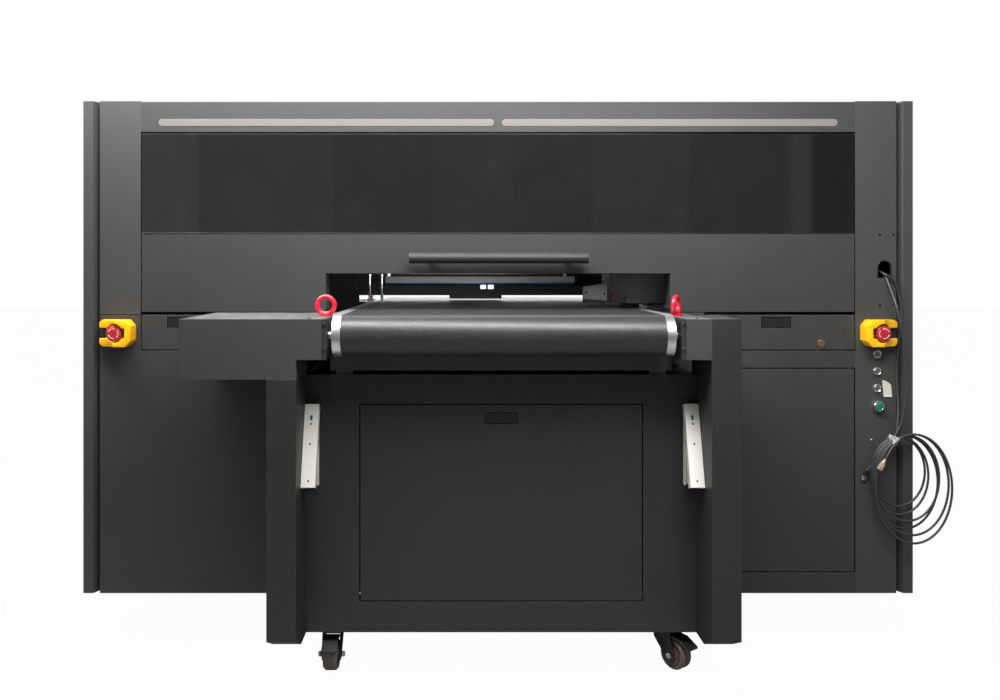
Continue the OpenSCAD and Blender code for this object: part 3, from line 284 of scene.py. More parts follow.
class Finish:
    """One material: a Principled shader with short calls for the parts most finishes share."""

    def __init__(self, name, color, roughness, metallic=0.0, specular=0.5):
        self.material = bpy.data.materials.new(name)
        self.material.use_nodes = True
        self.tree = self.material.node_tree
        self.shader = self.tree.nodes["Principled BSDF"]
        self.shader.inputs["Metallic"].default_value = metallic
        self.shader.inputs["Specular IOR Level"].default_value = specular
        coordinates = self.tree.nodes.new("ShaderNodeTexCoord")
        self.place = coordinates.outputs["Object"]
        self.color = color
        self.roughness = roughness
        self.color_socket = None
        self.roughness_socket = None

    def group(self, name, **values):
        node = self.tree.nodes.new("ShaderNodeGroup")
        node.node_tree = bpy.data.node_groups[name]
        self.tree.links.new(self.place, node.inputs["Vector"])
        for title, value in values.items():
            node.inputs[title].default_value = value
        return node.outputs

    def tint(self, mask, color, amount=1.0):
        """Mixes a colour in where the mask is high."""
        mix = self.tree.nodes.new("ShaderNodeMix")
        mix.data_type = "RGBA"
        share = math_node(self.tree, "MULTIPLY", mask, amount, clamp=True)
        self.tree.links.new(share, mix.inputs["Factor"])
        if self.color_socket is None:
            mix.inputs["A"].default_value = (*self.color, 1)
        else:
            self.tree.links.new(self.color_socket, mix.inputs["A"])
        mix.inputs["B"].default_value = (*color, 1)
        self.color_socket = mix.outputs["Result"]

    def roughen(self, mask, change):
        """Adds change times the mask to the roughness."""
        base = self.roughness if self.roughness_socket is None else self.roughness_socket
        added = math_node(self.tree, "MULTIPLY", mask, change)
        self.roughness_socket = math_node(self.tree, "ADD", added, base, clamp=True)

    def bump(self, height, distance, normal=None):
        node = self.tree.nodes.new("ShaderNodeBump")
        node.inputs["Distance"].default_value = distance
        node.inputs["Strength"].default_value = 1.0
        self.tree.links.new(height, node.inputs["Height"])
        if normal is not None:
            self.tree.links.new(normal, node.inputs["Normal"])
        self.tree.links.new(node.outputs["Normal"], self.shader.inputs["Normal"])

    def done(self):
        if self.color_socket is None:
            self.shader.inputs["Base Color"].default_value = (*self.color, 1)
        else:
            self.tree.links.new(self.color_socket, self.shader.inputs["Base Color"])
        if self.roughness_socket is None:
            self.shader.inputs["Roughness"].default_value = self.roughness
        else:
            self.tree.links.new(self.roughness_socket, self.shader.inputs["Roughness"])
        return self.material


def powder_coat(name, color, roughness, grain=700.0, peel=0.00012, edge=0.0016, dust=0.16,
                edge_color=(0.16, 0.16, 0.16), edge_amount=0.45):
    """Textured powder coat on sheet metal, with lighter edges that are partly rubbed paint and partly a painted
    highlight of folded edges catching light, dust on top and faint smudges.
    """
    f = Finish(name, color, roughness, specular=0.42)
    grain_out = f.group("powder_grain", Scale=grain)
    lighter = tuple(c * 1.35 + 0.004 for c in color)
    darker = tuple(c * 0.72 for c in color)
    f.tint(grain_out["Grain"], lighter, 0.55)
    f.tint(grain_out["Cloud"], darker, 0.35)
    edge_out = f.group("edge_wear_and_highlight", Radius=edge)
    # lighter edges: partly rubbed paint, partly a painted highlight where folded sheet-metal edges catch light
    f.tint(edge_out["Mask"], edge_color, edge_amount)
    f.tint(f.group("settled_dust")["Mask"], (0.30, 0.29, 0.27), dust)
    smudges = f.group("hand_smudges", Scale=6.0)
    f.roughen(smudges["Mask"], -0.10)
    f.roughen(grain_out["Grain"], 0.08)
    f.bump(grain_out["Height"], peel, edge_out["Normal"])
    return f.done()


def bare_metal(name, color, roughness, stretch=(1, 1, 0.05), scale=900.0, darker=0.6, edge=0.001,
               lines=0.00002):
    """Ground, brushed or machined metal with grain along one axis."""
    f = Finish(name, color, roughness, metallic=1.0)
    grain = f.group("brushed_grain", Stretch=stretch, Scale=scale)
    f.tint(grain["Lines"], tuple(c * darker for c in color), 0.5)
    f.tint(grain["Tone"], tuple(c * 0.8 for c in color), 0.5)
    f.roughen(grain["Lines"], 0.12)
    f.roughen(f.group("hand_smudges", Scale=30.0)["Mask"], 0.15)
    edge_out = f.group("edge_wear_and_highlight", Radius=edge)
    f.bump(grain["Lines"], lines, edge_out["Normal"])
    return f.done()


def moulded_plastic(name, color, roughness, edge=0.0012, speck=500.0, edge_color=None, coat=0.0, peel=0.00003,
                    edge_amount=0.4):
    """Injection-moulded plastic: fine spark-eroded grain, rounded edges and a few scuffs."""
    f = Finish(name, color, roughness)
    f.shader.inputs["Coat Weight"].default_value = coat
    grain = f.group("powder_grain", Scale=speck)
    f.tint(grain["Cloud"], tuple(c * 0.82 for c in color), 0.6)
    f.tint(grain["Grain"], tuple(min(1, c * 1.1 + 0.003) for c in color), 0.3)
    edge_out = f.group("edge_wear_and_highlight", Radius=edge, Breakup=140.0)
    f.tint(edge_out["Mask"], edge_color or tuple(min(1, c * 1.25 + 0.03) for c in color), edge_amount)
    f.roughen(f.group("hand_smudges", Scale=24.0)["Mask"], 0.16)
    f.bump(grain["Height"], peel, edge_out["Normal"])
    return f.done()


def smoked_acrylic():
    """Nearly black polished window that lets a little light through."""
    f = Finish("smoked_acrylic", (0.004, 0.004, 0.0045), 0.045)
    smudges = f.group("hand_smudges", Scale=3.5)
    f.tint(smudges["Mask"], (0.012, 0.012, 0.013), 0.5)
    f.roughen(smudges["Mask"], 0.07)
    f.shader.inputs["Coat Weight"].default_value = 1.0
    f.shader.inputs["Coat IOR"].default_value = 1.8
    f.shader.inputs["Alpha"].default_value = 0.93
    return f.done()


def belt_rubber():
    """Smooth black conveyor belt: satin, dusty, with fine scuffs along its travel."""
    f = Finish("belt_rubber", (0.017, 0.0168, 0.016), 0.35)
    scuffs = f.group("brushed_grain", Stretch=(1, 0.04, 0.3), Scale=260.0)
    f.tint(scuffs["Lines"], (0.028, 0.028, 0.028), 0.5)
    f.roughen(scuffs["Lines"], 0.10)
    specks = noise_node(f.tree, f.place, 330.0, 1.0)
    f.tint(ramp_node(f.tree, specks, 0.70, 0.76), (0.16, 0.16, 0.15), 0.6)
    f.roughen(f.group("hand_smudges", Scale=5.0)["Mask"], 0.14)
    f.bump(scuffs["Lines"], 0.00002)
    return f.done()


def led_diffuser():
    """Milky cover of a light bar, switched off, with a faint painted glow that stands in for room light falling on
    it.
    """
    f = Finish("led_diffuser", (0.10, 0.089, 0.086), 0.38)
    grain = f.group("powder_grain", Scale=320.0)
    f.tint(grain["Cloud"], (0.085, 0.076, 0.073), 0.7)
    edge_out = f.group("edge_wear_and_highlight", Radius=0.002)
    f.tint(edge_out["Mask"], (0.16, 0.15, 0.145), 0.5)
    f.shader.inputs["Subsurface Weight"].default_value = 0.15
    # painted glow: the bar is off, and this faint emission stands in for room light falling on the cover
    f.shader.inputs["Emission Color"].default_value = (1.0, 0.90, 0.87, 1)
    f.shader.inputs["Emission Strength"].default_value = 0.16
    f.bump(grain["Height"], 0.00002, edge_out["Normal"])
    return f.done()


def wheel_tread():
    """Grey-brown polyurethane tread, scuffed where it rolls."""
    f = Finish("wheel_tread", (0.115, 0.085, 0.072), 0.55)
    grain = f.group("powder_grain", Scale=240.0)
    f.tint(grain["Cloud"], (0.05, 0.042, 0.04), 0.8)
    f.tint(grain["Grain"], (0.19, 0.15, 0.13), 0.35)
    edge_out = f.group("edge_wear_and_highlight", Radius=0.003, Breakup=90.0)
    f.tint(edge_out["Mask"], (0.26, 0.21, 0.19), 0.7)
    f.bump(grain["Height"], 0.0001, edge_out["Normal"])
    return f.done()


def cable_jacket():
    """Soft dark grey cable jacket with faint handling marks."""
    f = Finish("cable_jacket", (0.030, 0.031, 0.034), 0.42)
    grain = f.group("powder_grain", Scale=900.0)
    f.tint(grain["Cloud"], (0.018, 0.018, 0.020), 0.7)
    f.roughen(f.group("hand_smudges", Scale=40.0)["Mask"], 0.18)
    f.bump(grain["Height"], 0.00002)
    return f.done()


def clear_tape():
    """Thin clear packing tape: mostly see-through, milky where it folds."""
    f = Finish("clear_tape", (0.62, 0.63, 0.64), 0.12)
    folds = f.group("hand_smudges", Scale=60.0)
    f.roughen(folds["Mask"], 0.25)
    haze = ramp_node(f.tree, noise_node(f.tree, f.place, 120.0, 3.0), 0.35, 0.75)
    f.tree.links.new(math_node(f.tree, "ADD", math_node(f.tree, "MULTIPLY", haze, 0.35), 0.22),
                     f.shader.inputs["Alpha"])
    return f.done()


def painted_glint_glow():
    """Clear caps that glow: a painted highlight that stands in for a bright double reflection deep in the tunnel.
    """
    f = Finish("painted_glint_glow", (0.8, 0.82, 0.85), 0.15)
    glow = noise_node(f.tree, f.place, 160.0, 1.0)
    f.tint(ramp_node(f.tree, glow, 0.3, 0.7), (0.95, 0.96, 1.0), 0.5)
    f.shader.inputs["Emission Color"].default_value = (0.9, 0.95, 1.0, 1)
    f.shader.inputs["Emission Strength"].default_value = 0.9
    return f.done()


def build_finishes():
    for build in (build_powder_grain, build_edge_wear_and_highlight, build_settled_dust, build_hand_smudges,
                  build_brushed_grain):
        build()
    body = (0.027, 0.0273, 0.027)
    return {
        "body_coat": powder_coat("body_coat", body, 0.52),
        "cover_coat": powder_coat("cover_coat", (0.037, 0.0375, 0.037), 0.50),
        "door_coat": powder_coat("door_coat", body, 0.52, dust=0.0),
        "table_coat": powder_coat("table_coat", (0.040, 0.041, 0.0405), 0.50, dust=0.45),
        "cabinet_coat": powder_coat("cabinet_coat", (0.017, 0.0175, 0.0172), 0.50, dust=0.0),
        "stand_coat": powder_coat("stand_coat", (0.0165, 0.016, 0.0152), 0.52),
        "frame_coat": powder_coat("frame_coat", (0.045, 0.046, 0.048), 0.40, grain=350.0, dust=0.5),
        "light_diffuser": led_diffuser(),
        "smoked_window": smoked_acrylic(),
        "belt_rubber": belt_rubber(),
        "aluminium": bare_metal("aluminium", (0.72, 0.73, 0.75), 0.27, (0.06, 1, 1), 700.0, 0.72),
        "bright_steel": bare_metal("bright_steel", (0.62, 0.63, 0.64), 0.22, (1, 1, 0.05), 900.0),
        "zinc": bare_metal("zinc", (0.50, 0.51, 0.53), 0.42, (1, 1, 1), 120.0, 0.75),
        "motor_paint": powder_coat("motor_paint", (0.10, 0.105, 0.11), 0.38, grain=300.0, peel=0.00005),
        "eye_red": moulded_plastic("eye_red", (0.62, 0.008, 0.028), 0.26, edge=0.0006, speck=150.0,
                                   edge_color=(0.30, 0.05, 0.05), coat=0.35, peel=0.0001, edge_amount=0.25),
        "bracket_cream": moulded_plastic("bracket_cream", (0.74, 0.72, 0.66), 0.36, edge=0.0008,
                                         speck=260.0, edge_color=(0.45, 0.42, 0.38), coat=0.2),
        "caster_black": moulded_plastic("caster_black", (0.012, 0.012, 0.013), 0.34, edge=0.001,
                                        edge_color=(0.14, 0.13, 0.12), edge_amount=0.5),
        "wheel_tread": wheel_tread(),
        "guard_yellow": moulded_plastic("guard_yellow", (0.93, 0.44, 0.003), 0.34, edge=0.0018,
                                        edge_color=(1.0, 0.66, 0.10), coat=0.15, edge_amount=0.65),
        "estop_red": moulded_plastic("estop_red", (0.36, 0.016, 0.026), 0.32, edge=0.0015, coat=0.3),
        "button_metal": bare_metal("button_metal", (0.78, 0.77, 0.74), 0.16, (1, 1, 1), 300.0, 0.85),
        "button_face": bare_metal("button_face", (0.26, 0.235, 0.215), 0.40, (1, 1, 1), 260.0, 0.8),
        "green_face": moulded_plastic("green_face", (0.0, 0.17, 0.075), 0.22, coat=0.5),
        "copper_lock": bare_metal("copper_lock", (0.52, 0.31, 0.21), 0.32, (1, 1, 1), 300.0, 0.7),
        "latch_black": moulded_plastic("latch_black", (0.010, 0.010, 0.011), 0.30, edge_amount=0.3),
        "ink_plastic": moulded_plastic("ink_plastic", (0.50, 0.51, 0.52), 0.40, edge=0.002),
        "head_black": moulded_plastic("head_black", (0.016, 0.016, 0.018), 0.35),
        "cable_grey": cable_jacket(),
        "plug_gold": moulded_plastic("plug_gold", (0.42, 0.33, 0.19), 0.32, coat=0.2),
        "arrow_print": moulded_plastic("arrow_print", (0.80, 0.42, 0.38), 0.35, edge_amount=0.2),
        "masking_tape": moulded_plastic("masking_tape", (0.52, 0.50, 0.44), 0.6, speck=120.0),
        "clear_tape": clear_tape(),
        "curtain_rubber": moulded_plastic("curtain_rubber", (0.014, 0.014, 0.015), 0.5),
        "bar_grey": moulded_plastic("bar_grey", (0.44, 0.44, 0.42), 0.40, speck=300.0),
        "insulator_blue": moulded_plastic("insulator_blue", (0.02, 0.16, 0.48), 0.35),
        "screw_black": bare_metal("screw_black", (0.07, 0.07, 0.072), 0.38, (1, 1, 1), 400.0, 0.7),
        "hub_brown": moulded_plastic("hub_brown", (0.075, 0.035, 0.028), 0.45),
        "terminal_beige": moulded_plastic("terminal_beige", (0.42, 0.40, 0.34), 0.45, speck=180.0),
        "ink_cyan": moulded_plastic("ink_cyan", (0.0, 0.22, 0.46), 0.4),
        "ink_magenta": moulded_plastic("ink_magenta", (0.42, 0.01, 0.14), 0.4),
        "ink_yellow": moulded_plastic("ink_yellow", (0.66, 0.50, 0.01), 0.4),
        "ink_black": moulded_plastic("ink_black", (0.012, 0.012, 0.012), 0.4),
        "painted_glint_glow": painted_glint_glow(),
        "polished_steel": bare_metal("polished_steel", (0.70, 0.71, 0.72), 0.12, (1, 1, 0.05), 700.0, 0.85),
    }


def finish_frame_nodes(finishes):
    """Each CAD node takes the finish of its slot in the record."""
    slot_of = {part["node"]: part["material_slot"] for part in frame["record"]["subparts"]}
    special = {"side_covers": "cover_coat", "left_column": "cover_coat", "right_column": "cover_coat",
               "conveyor_covers": "table_coat", "cabinet_door": "cabinet_coat",
               "cabinet_shells": "cabinet_coat", "hood_panel": "door_coat", "right_door": "door_coat",
               "left_flap": "door_coat", "right_flap": "door_coat"}
    for node, piece in frame["nodes"].items():
        for place in piece.material_slots:
            place.material = finishes[special.get(node, slot_of[node])]


# --- helpers for new pieces ----------------------------------------------------------

def mesh_piece(name, mesh_or_bm, finish, body, smooth=True):
    """Links a finished mesh at the origin and makes it ride on its body."""
    if isinstance(mesh_or_bm, bmesh.types.BMesh):
        mesh = bpy.data.meshes.new(name)
        mesh_or_bm.to_mesh(mesh)
        mesh_or_bm.free()
    else:
        mesh = mesh_or_bm
        mesh.name = name
    mesh.materials.clear()
    mesh.materials.append(finishes[finish])
    if smooth:
        mesh.shade_smooth()
        mesh.set_sharp_from_angle(angle=math.radians(40))
    piece = bpy.data.objects.new(name, mesh)
    bpy.context.scene.collection.objects.link(piece)
    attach(piece, body)
    return piece


def box_mesh(lo, hi, edge=0.0, steps=2):
    """A block between two corners with rounded edges, as a bmesh."""
    bm = bmesh.new()
    bmesh.ops.create_cube(bm, size=1)
    lo, hi = Vector(lo), Vector(hi)
    size = hi - lo
    bmesh.ops.scale(bm, vec=size, verts=bm.verts)
    bmesh.ops.translate(bm, vec=(lo + hi) / 2, verts=bm.verts)
    if edge:
        bmesh.ops.bevel(bm, geom=bm.edges[:], offset=edge, segments=steps, profile=0.5, affect="EDGES")
    return bm


def plate_mesh(outline, depth, edge=0.0, steps=2):
    """An outline in X and Z, extruded from y = 0 to y = depth, with rounded rims."""
    bm = bmesh.new()
    face = bm.faces.new([bm.verts.new((x, 0, z)) for x, z in outline])
    out = bmesh.ops.extrude_face_region(bm, geom=[face])
    moved = [v for v in out["geom"] if isinstance(v, bmesh.types.BMVert)]
    bmesh.ops.translate(bm, vec=(0, depth, 0), verts=moved)
    bmesh.ops.recalc_face_normals(bm, faces=bm.faces)
    if edge:
        rims = [e for e in bm.edges if abs(e.verts[0].co.y - e.verts[1].co.y) < 1e-7]
        bmesh.ops.bevel(bm, geom=rims, offset=edge, segments=steps, profile=0.5, affect="EDGES")
    return bm


def turned_mesh(profile, place=(0, 0, 0), axis=(0, 0, 1), steps=40):
    """A turned part: profile is (radius, height) pairs along the axis; ends at radius 0 are closed."""
    bm = bmesh.new()
    rings = []
    for radius, height in profile:
        if radius < 1e-6:
            rings.append([bm.verts.new((0, 0, height))])
        else:
            rings.append([bm.verts.new((radius * math.cos(2 * math.pi * k / steps),
                                        radius * math.sin(2 * math.pi * k / steps), height))
                          for k in range(steps)])
    for one, two in zip(rings, rings[1:]):
        for k in range(steps):
            corners = [one[k % len(one)], one[(k + 1) % len(one)], two[(k + 1) % len(two)],
                       two[k % len(two)]]
            corners = list(dict.fromkeys(corners))
            if len(corners) > 2:
                bm.faces.new(corners)
    bmesh.ops.recalc_face_normals(bm, faces=bm.faces)
    turn = Vector((0, 0, 1)).rotation_difference(Vector(axis)).to_matrix().to_4x4()
    bmesh.ops.transform(bm, matrix=Matrix.Translation(place) @ turn, verts=bm.verts)
    return bm


def tube_mesh(points, radius, steps=10, closed=False):
    """A round tube along points."""
    bm = bmesh.new()
    points = [Vector(p) for p in points]
    count = len(points)
    rings = []
    side = None
    for i, point in enumerate(points):
        before = points[i - 1] if (i or closed) else point
        after = points[(i + 1) % count] if (i < count - 1 or closed) else point
        ahead = (after - before).normalized()
        if side is None:
            side = ahead.orthogonal().normalized()
        side = (side - ahead * side.dot(ahead)).normalized()
        up = ahead.cross(side)
        rings.append([bm.verts.new(point + radius * (side * math.cos(2 * math.pi * k / steps)
                                                     + up * math.sin(2 * math.pi * k / steps)))
                      for k in range(steps)])
    pairs = list(zip(rings, rings[1:])) + ([(rings[-1], rings[0])] if closed else [])
    for one, two in pairs:
        for k in range(steps):
            n = (k + 1) % steps
            bm.faces.new((one[k], one[n], two[n], two[k]))
    if not closed:
        bm.faces.new(rings[0][::-1])
        bm.faces.new(rings[-1])
    bmesh.ops.recalc_face_normals(bm, faces=bm.faces)
    return bm


def joined(*parts):
    """Several bmeshes as one."""
    whole = bmesh.new()
    for part in parts:
        mesh = bpy.data.meshes.new("part")
        part.to_mesh(mesh)
        part.free()
        whole.from_mesh(mesh)
        bpy.data.meshes.remove(mesh)
    return whole


def moved(bm, matrix):
    bmesh.ops.transform(bm, matrix=matrix, verts=bm.verts)
    return bm


def mirrored(bm):
    """The same part on the other side of the machine."""
    bmesh.ops.scale(bm, vec=(-1, 1, 1), verts=bm.verts)
    bmesh.ops.reverse_faces(bm, faces=bm.faces)
    return bm


def carved(base, cutters, edge=0.0, steps=2, angle=35):
    """base with the cutters taken away, and its edges then rounded."""
    objects = []
    for bm in [base] + list(cutters):
        mesh = bpy.data.meshes.new("carving")
        bm.to_mesh(mesh)
        bm.free()
        made = bpy.data.objects.new("carving", mesh)
        bpy.context.scene.collection.objects.link(made)
        objects.append(made)
    block = objects[0]
    for cutter in objects[1:]:
        cut = block.modifiers.new("cut", "BOOLEAN")
        cut.operation = "DIFFERENCE"
        cut.solver = "EXACT"
        cut.object = cutter
    if edge:
        rounding = block.modifiers.new("round", "BEVEL")
        rounding.width = edge
        rounding.segments = steps
        rounding.limit_method = "ANGLE"
        rounding.angle_limit = math.radians(angle)
    seen = block.evaluated_get(bpy.context.evaluated_depsgraph_get())
    mesh = bpy.data.meshes.new_from_object(seen)
    for made in objects:
        bpy.data.objects.remove(made)
    return mesh


def mirrored_mesh(mesh):
    """A copy of a mesh for the other side of the machine."""
    bm = bmesh.new()
    bm.from_mesh(mesh)
    return mirrored(bm)


# --- cords -----------------------------------------------------------------------

CABLE_D = 6 * MM
TURN_SMALL = (71, 91, 1053, 461)
TURN_LARGE = (99, 142, 1081, 422)
TURNS = 6
POINTS_A_TURN = 24
TIE_ANGLE = 112
COIL_Y = (-413.7, -445.8)


def smooth_route(points, steps):
    """Catmull-Rom points through a given list."""
    route = []
    for i in range(len(points) - 1):
        a, b, c, d = (Vector(points[max(0, min(len(points) - 1, i + k))]) for k in (-1, 0, 1, 2))
        for step in range(steps):
            t = step / steps
            route.append(0.5 * (2 * b + (c - a) * t + (2 * a - 5 * b + 4 * c - d) * t * t
                                + (3 * b - a - 3 * c + d) * t ** 3))
    return route + [Vector(points[-1])]


def coil_turns(sizes, layers):
    """Oval turns that all hang from the tie; each turn has its size and its layer."""
    points = []
    total = POINTS_A_TURN * len(sizes)
    for step in range(total + 1):
        turn = step / POINTS_A_TURN
        i = min(int(turn), len(sizes) - 1)
        j = min(i + 1, len(sizes) - 1)
        blend = turn - i
        share = (sizes[i] * (1 - blend) + sizes[j] * blend) / (TURNS - 1)
        half_w, half_h, x, z = (s + (big - s) * share for s, big in zip(TURN_SMALL, TURN_LARGE))
        layer = layers[0] + (layers[1] - layers[0]) * step / total
        y = COIL_Y[0] + (COIL_Y[1] - COIL_Y[0]) * layer / (TURNS - 1)
        angle = math.radians(TIE_ANGLE + 360 * turn)
        points.append((x + half_w * math.cos(angle), y, z + half_h * math.sin(angle)))
    return points


def build_cord(name, nodes, lead, sizes, layers, tail):
    """A lead out of the column, its turns of the coil and its tail, as one curve."""
    points = smooth_route(list(lead) + coil_turns(sizes, layers) + list(tail), 3)
    points = [p * MM for p in points]
    curve = bpy.data.curves.new(name, "CURVE")
    curve.dimensions = "3D"
    curve.bevel_depth = CABLE_D / 2
    curve.bevel_resolution = 3
    curve.use_fill_caps = True
    spline = curve.splines.new("POLY")
    spline.points.add(len(points) - 1)
    for place, point in zip(spline.points, points):
        place.co = (*point, 1)
    curve.materials.append(finishes["cable_grey"])
    cord = bpy.data.objects.new(name, curve)
    bpy.context.scene.collection.objects.link(cord)
    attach(cord, "frame")
    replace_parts(cord, *nodes)
    return cord


LEAD_A = [(1018, -385, 988), (1018, -396, 986), (1022, -408, 981), (1033, -411, 974),
          (1046, -409, 962), (1057, -406, 942), (1064, -405, 915), (1068, -405, 885),
          (1066, -405, 850), (1061, -405, 815), (1058, -405, 780), (1056, -405, 740),
          (1056, -405, 700), (1057, -406, 660), (1055, -413, 620), (1048, -422, 583)]
LEAD_B = [(1026, -385, 979), (1026, -396, 977), (1027, -406, 971), (1029, -413, 957),
          (1032, -428, 930), (1035, -444, 900), (1039, -450, 868), (1046, -450, 835),
          (1054, -449, 800), (1063, -446, 765), (1068, -442, 725), (1068, -438, 690),
          (1064, -434, 650), (1058, -433, 615), (1050, -433, 583)]
TAIL_A = [(1016, -407, 529), (1001, -405.5, 506), (989, -405.5, 482), (979, -405.5, 463)]
TAIL_B = [(1020, -452, 530), (1008, -455, 513), (999, -455, 498)]


def plug_place(end, before):
    """Frame of a plug: its own -Z continues the lead's last stretch."""
    ahead = (Vector(end) - Vector(before)).normalized()
    turn = Vector((0, 0, -1)).rotation_difference(ahead).to_matrix().to_4x4()
    return Matrix.Translation(Vector(end) * MM) @ turn


def build_plugs():
    """A network plug with its clip, and a USB plug with its metal shell."""
    boot = turned_mesh([(0, 4 * MM), (3.4 * MM, 4 * MM), (4.4 * MM, -5 * MM), (5.2 * MM, -9 * MM),
                        (0, -9 * MM)], steps=20)
    body = box_mesh(mm(-5.8, -4, -27), mm(5.8, 4, -8), 0.7 * MM)
    clip = box_mesh(mm(-3, 4, -25), mm(3, 5.2, -10), 0.4 * MM)
    contacts = joined(*[box_mesh(mm(x - 0.35, -4.3, -27.2), mm(x + 0.35, -3.8, -20)) for x in
                        (-3.5, -2.5, -1.5, -0.5, 0.5, 1.5, 2.5, 3.5)])
    place = plug_place(TAIL_B[-1], TAIL_B[-2])
    network = mesh_piece("network_plug", moved(joined(boot, body, clip, contacts), place), "plug_gold",
                         "frame")
    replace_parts(network, "cable_plugs")
    grip = joined(turned_mesh([(0, 4 * MM), (3.3 * MM, 4 * MM), (4 * MM, -3 * MM), (0, -3 * MM)], steps=20),
                  box_mesh(mm(-7, -3.8, -19), mm(7, 3.8, -2), 1.5 * MM, 3))
    shell = box_mesh(mm(-6, -2.3, -30), mm(6, 2.3, -18), 0.3 * MM)
    place = plug_place(TAIL_A[-1], TAIL_A[-2])
    grip_piece = mesh_piece("usb_grip", moved(grip, place), "latch_black", "frame")
    shell_piece = mesh_piece("usb_shell", moved(shell, place), "bright_steel", "frame")
    return [network], [grip_piece, shell_piece]


def build_cords():
    network, usb = build_plugs()
    build_cord("network_lead", ["cable_b", "cable_coil"], LEAD_B, [1, 3, 5], (3, 5), TAIL_B)
    build_cord("usb_lead", ["cable_a"], LEAD_A, [4, 2, 0], (2, 0), TAIL_A)


# --- controls on the columns ---------------------------------------------------------

CONTROL_X = middle("right_estop_head").x
ESTOP_Z = middle("right_estop_head").z
HEAD_R = (high("right_estop_head").z - low("right_estop_head").z) / 2
GUARD_FRONT = low("estop_guards").y


def build_estop_guards():
    """Yellow guard: a deep D round the head, scooped down to two prongs at its open end."""
    right = CONTROL_X + 45 * MM
    half_h = (high("estop_guards").z - low("estop_guards").z) / 2
    inner = 2 * CONTROL_X - right
    outline = [(inner, -19 * MM), (inner + 13 * MM, -half_h), (right - 9 * MM, -half_h),
               (right - 1 * MM, -half_h + 6 * MM), (right, -half_h + 12 * MM), (right, half_h - 12 * MM),
               (right - 1 * MM, half_h - 6 * MM), (right - 9 * MM, half_h), (inner + 13 * MM, half_h),
               (inner, 19 * MM)]
    depth = FRONT - GUARD_FRONT
    block = moved(plate_mesh(outline, depth), Matrix.Translation((0, GUARD_FRONT, ESTOP_Z)))
    well = turned_mesh([(0, -1 * MM), (26 * MM, -1 * MM), (23.5 * MM, depth - 5 * MM), (0, depth - 5 * MM)],
                       (CONTROL_X, GUARD_FRONT, ESTOP_Z), (0, 1, 0), 48)
    notch = box_mesh((inner + 15 * MM, GUARD_FRONT - 0.01, ESTOP_Z - 13.5 * MM),
                     (CONTROL_X, FRONT - 12 * MM, ESTOP_Z + 13.5 * MM))
    mouth = box_mesh((CONTROL_X + 27 * MM, GUARD_FRONT - 0.01, ESTOP_Z - 14 * MM),
                     (right + 0.01, FRONT + 0.01, ESTOP_Z + 14 * MM))
    low_wall = box_mesh((CONTROL_X + 4 * MM, GUARD_FRONT - 0.01, ESTOP_Z - 14 * MM),
                        (CONTROL_X + 30 * MM, FRONT - 18 * MM, ESTOP_Z + 14 * MM))
    scoop = turned_mesh([(0, -0.06), (60 * MM, -0.06), (60 * MM, 0.06), (0, 0.06)],
                        (right + 4 * MM, GUARD_FRONT - 34 * MM, ESTOP_Z), (0, 0, 1), 96)
    barrel = turned_mesh([(0, -0.02), (11.3 * MM, -0.02), (11.3 * MM, 0.02), (0, 0.02)],
                         (CONTROL_X, FRONT, ESTOP_Z), (0, 1, 0), 32)
    mesh = carved(block, [well, notch, mouth, low_wall, scoop, barrel], 1.6 * MM, 3)
    both = bmesh.new()
    both.from_mesh(mesh)
    copy = mirrored_mesh(mesh)
    guards = mesh_piece("estop_guard_pair", joined(both, copy), "guard_yellow", "frame")
    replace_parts(guards, "estop_guards")


def estop_cap():
    """Mushroom head with a dished rim, on its stem."""
    back, face = high("right_estop_head").y, low("right_estop_head").y
    length = back - face
    r = HEAD_R
    profile = [(0, 0), (8 * MM, 0), (8 * MM, length - 10 * MM), (12 * MM, length - 9.6 * MM),
               (r - 1.5 * MM, length - 8 * MM), (r, length - 6.4 * MM), (r, length - 3.4 * MM),
               (r - 0.6 * MM, length - 2 * MM), (r - 2.2 * MM, length - 1 * MM),
               (r * 0.62, length - 0.25 * MM), (r * 0.3, length - 0.02 * MM), (0, length)]
    return turned_mesh(profile, (CONTROL_X, back, ESTOP_Z), (0, -1, 0), 56)


def twist_arrows():
    """Three raised arcs with arrow heads that show which way the head releases."""
    face = low("right_estop_head").y
    parts = []
    for third in range(3):
        start = math.radians(120 * third + 20)
        outline = []
        for k in range(9):
            angle = start + math.radians(72) * k / 8
            outline.append((13.9 * MM * math.cos(angle), 13.9 * MM * math.sin(angle)))
        tip = start + math.radians(92)
        outline.append((15.4 * MM * math.cos(angle), 15.4 * MM * math.sin(angle)))
        outline.append((12.8 * MM * math.cos(tip), 12.8 * MM * math.sin(tip)))
        outline.append((10.2 * MM * math.cos(angle), 10.2 * MM * math.sin(angle)))
        for k in range(8, -1, -1):
            angle = start + math.radians(72) * k / 8
            outline.append((11.7 * MM * math.cos(angle), 11.7 * MM * math.sin(angle)))
        place = Matrix.Translation((CONTROL_X, face - 0.1 * MM, ESTOP_Z))
        parts.append(moved(plate_mesh(outline, 1.0 * MM), place))
    return joined(*parts)


def build_estop_heads():
    for side in ("left", "right"):
        cap, arrows = estop_cap(), twist_arrows()
        if side == "left":
            cap, arrows = mirrored(cap), mirrored(arrows)
        body = side + "_estop_head"
        head = mesh_piece(side + "_estop_mushroom", cap, "estop_red", body)
        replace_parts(head, body)
        mesh_piece(side + "_estop_arrows", arrows, "arrow_print", body)


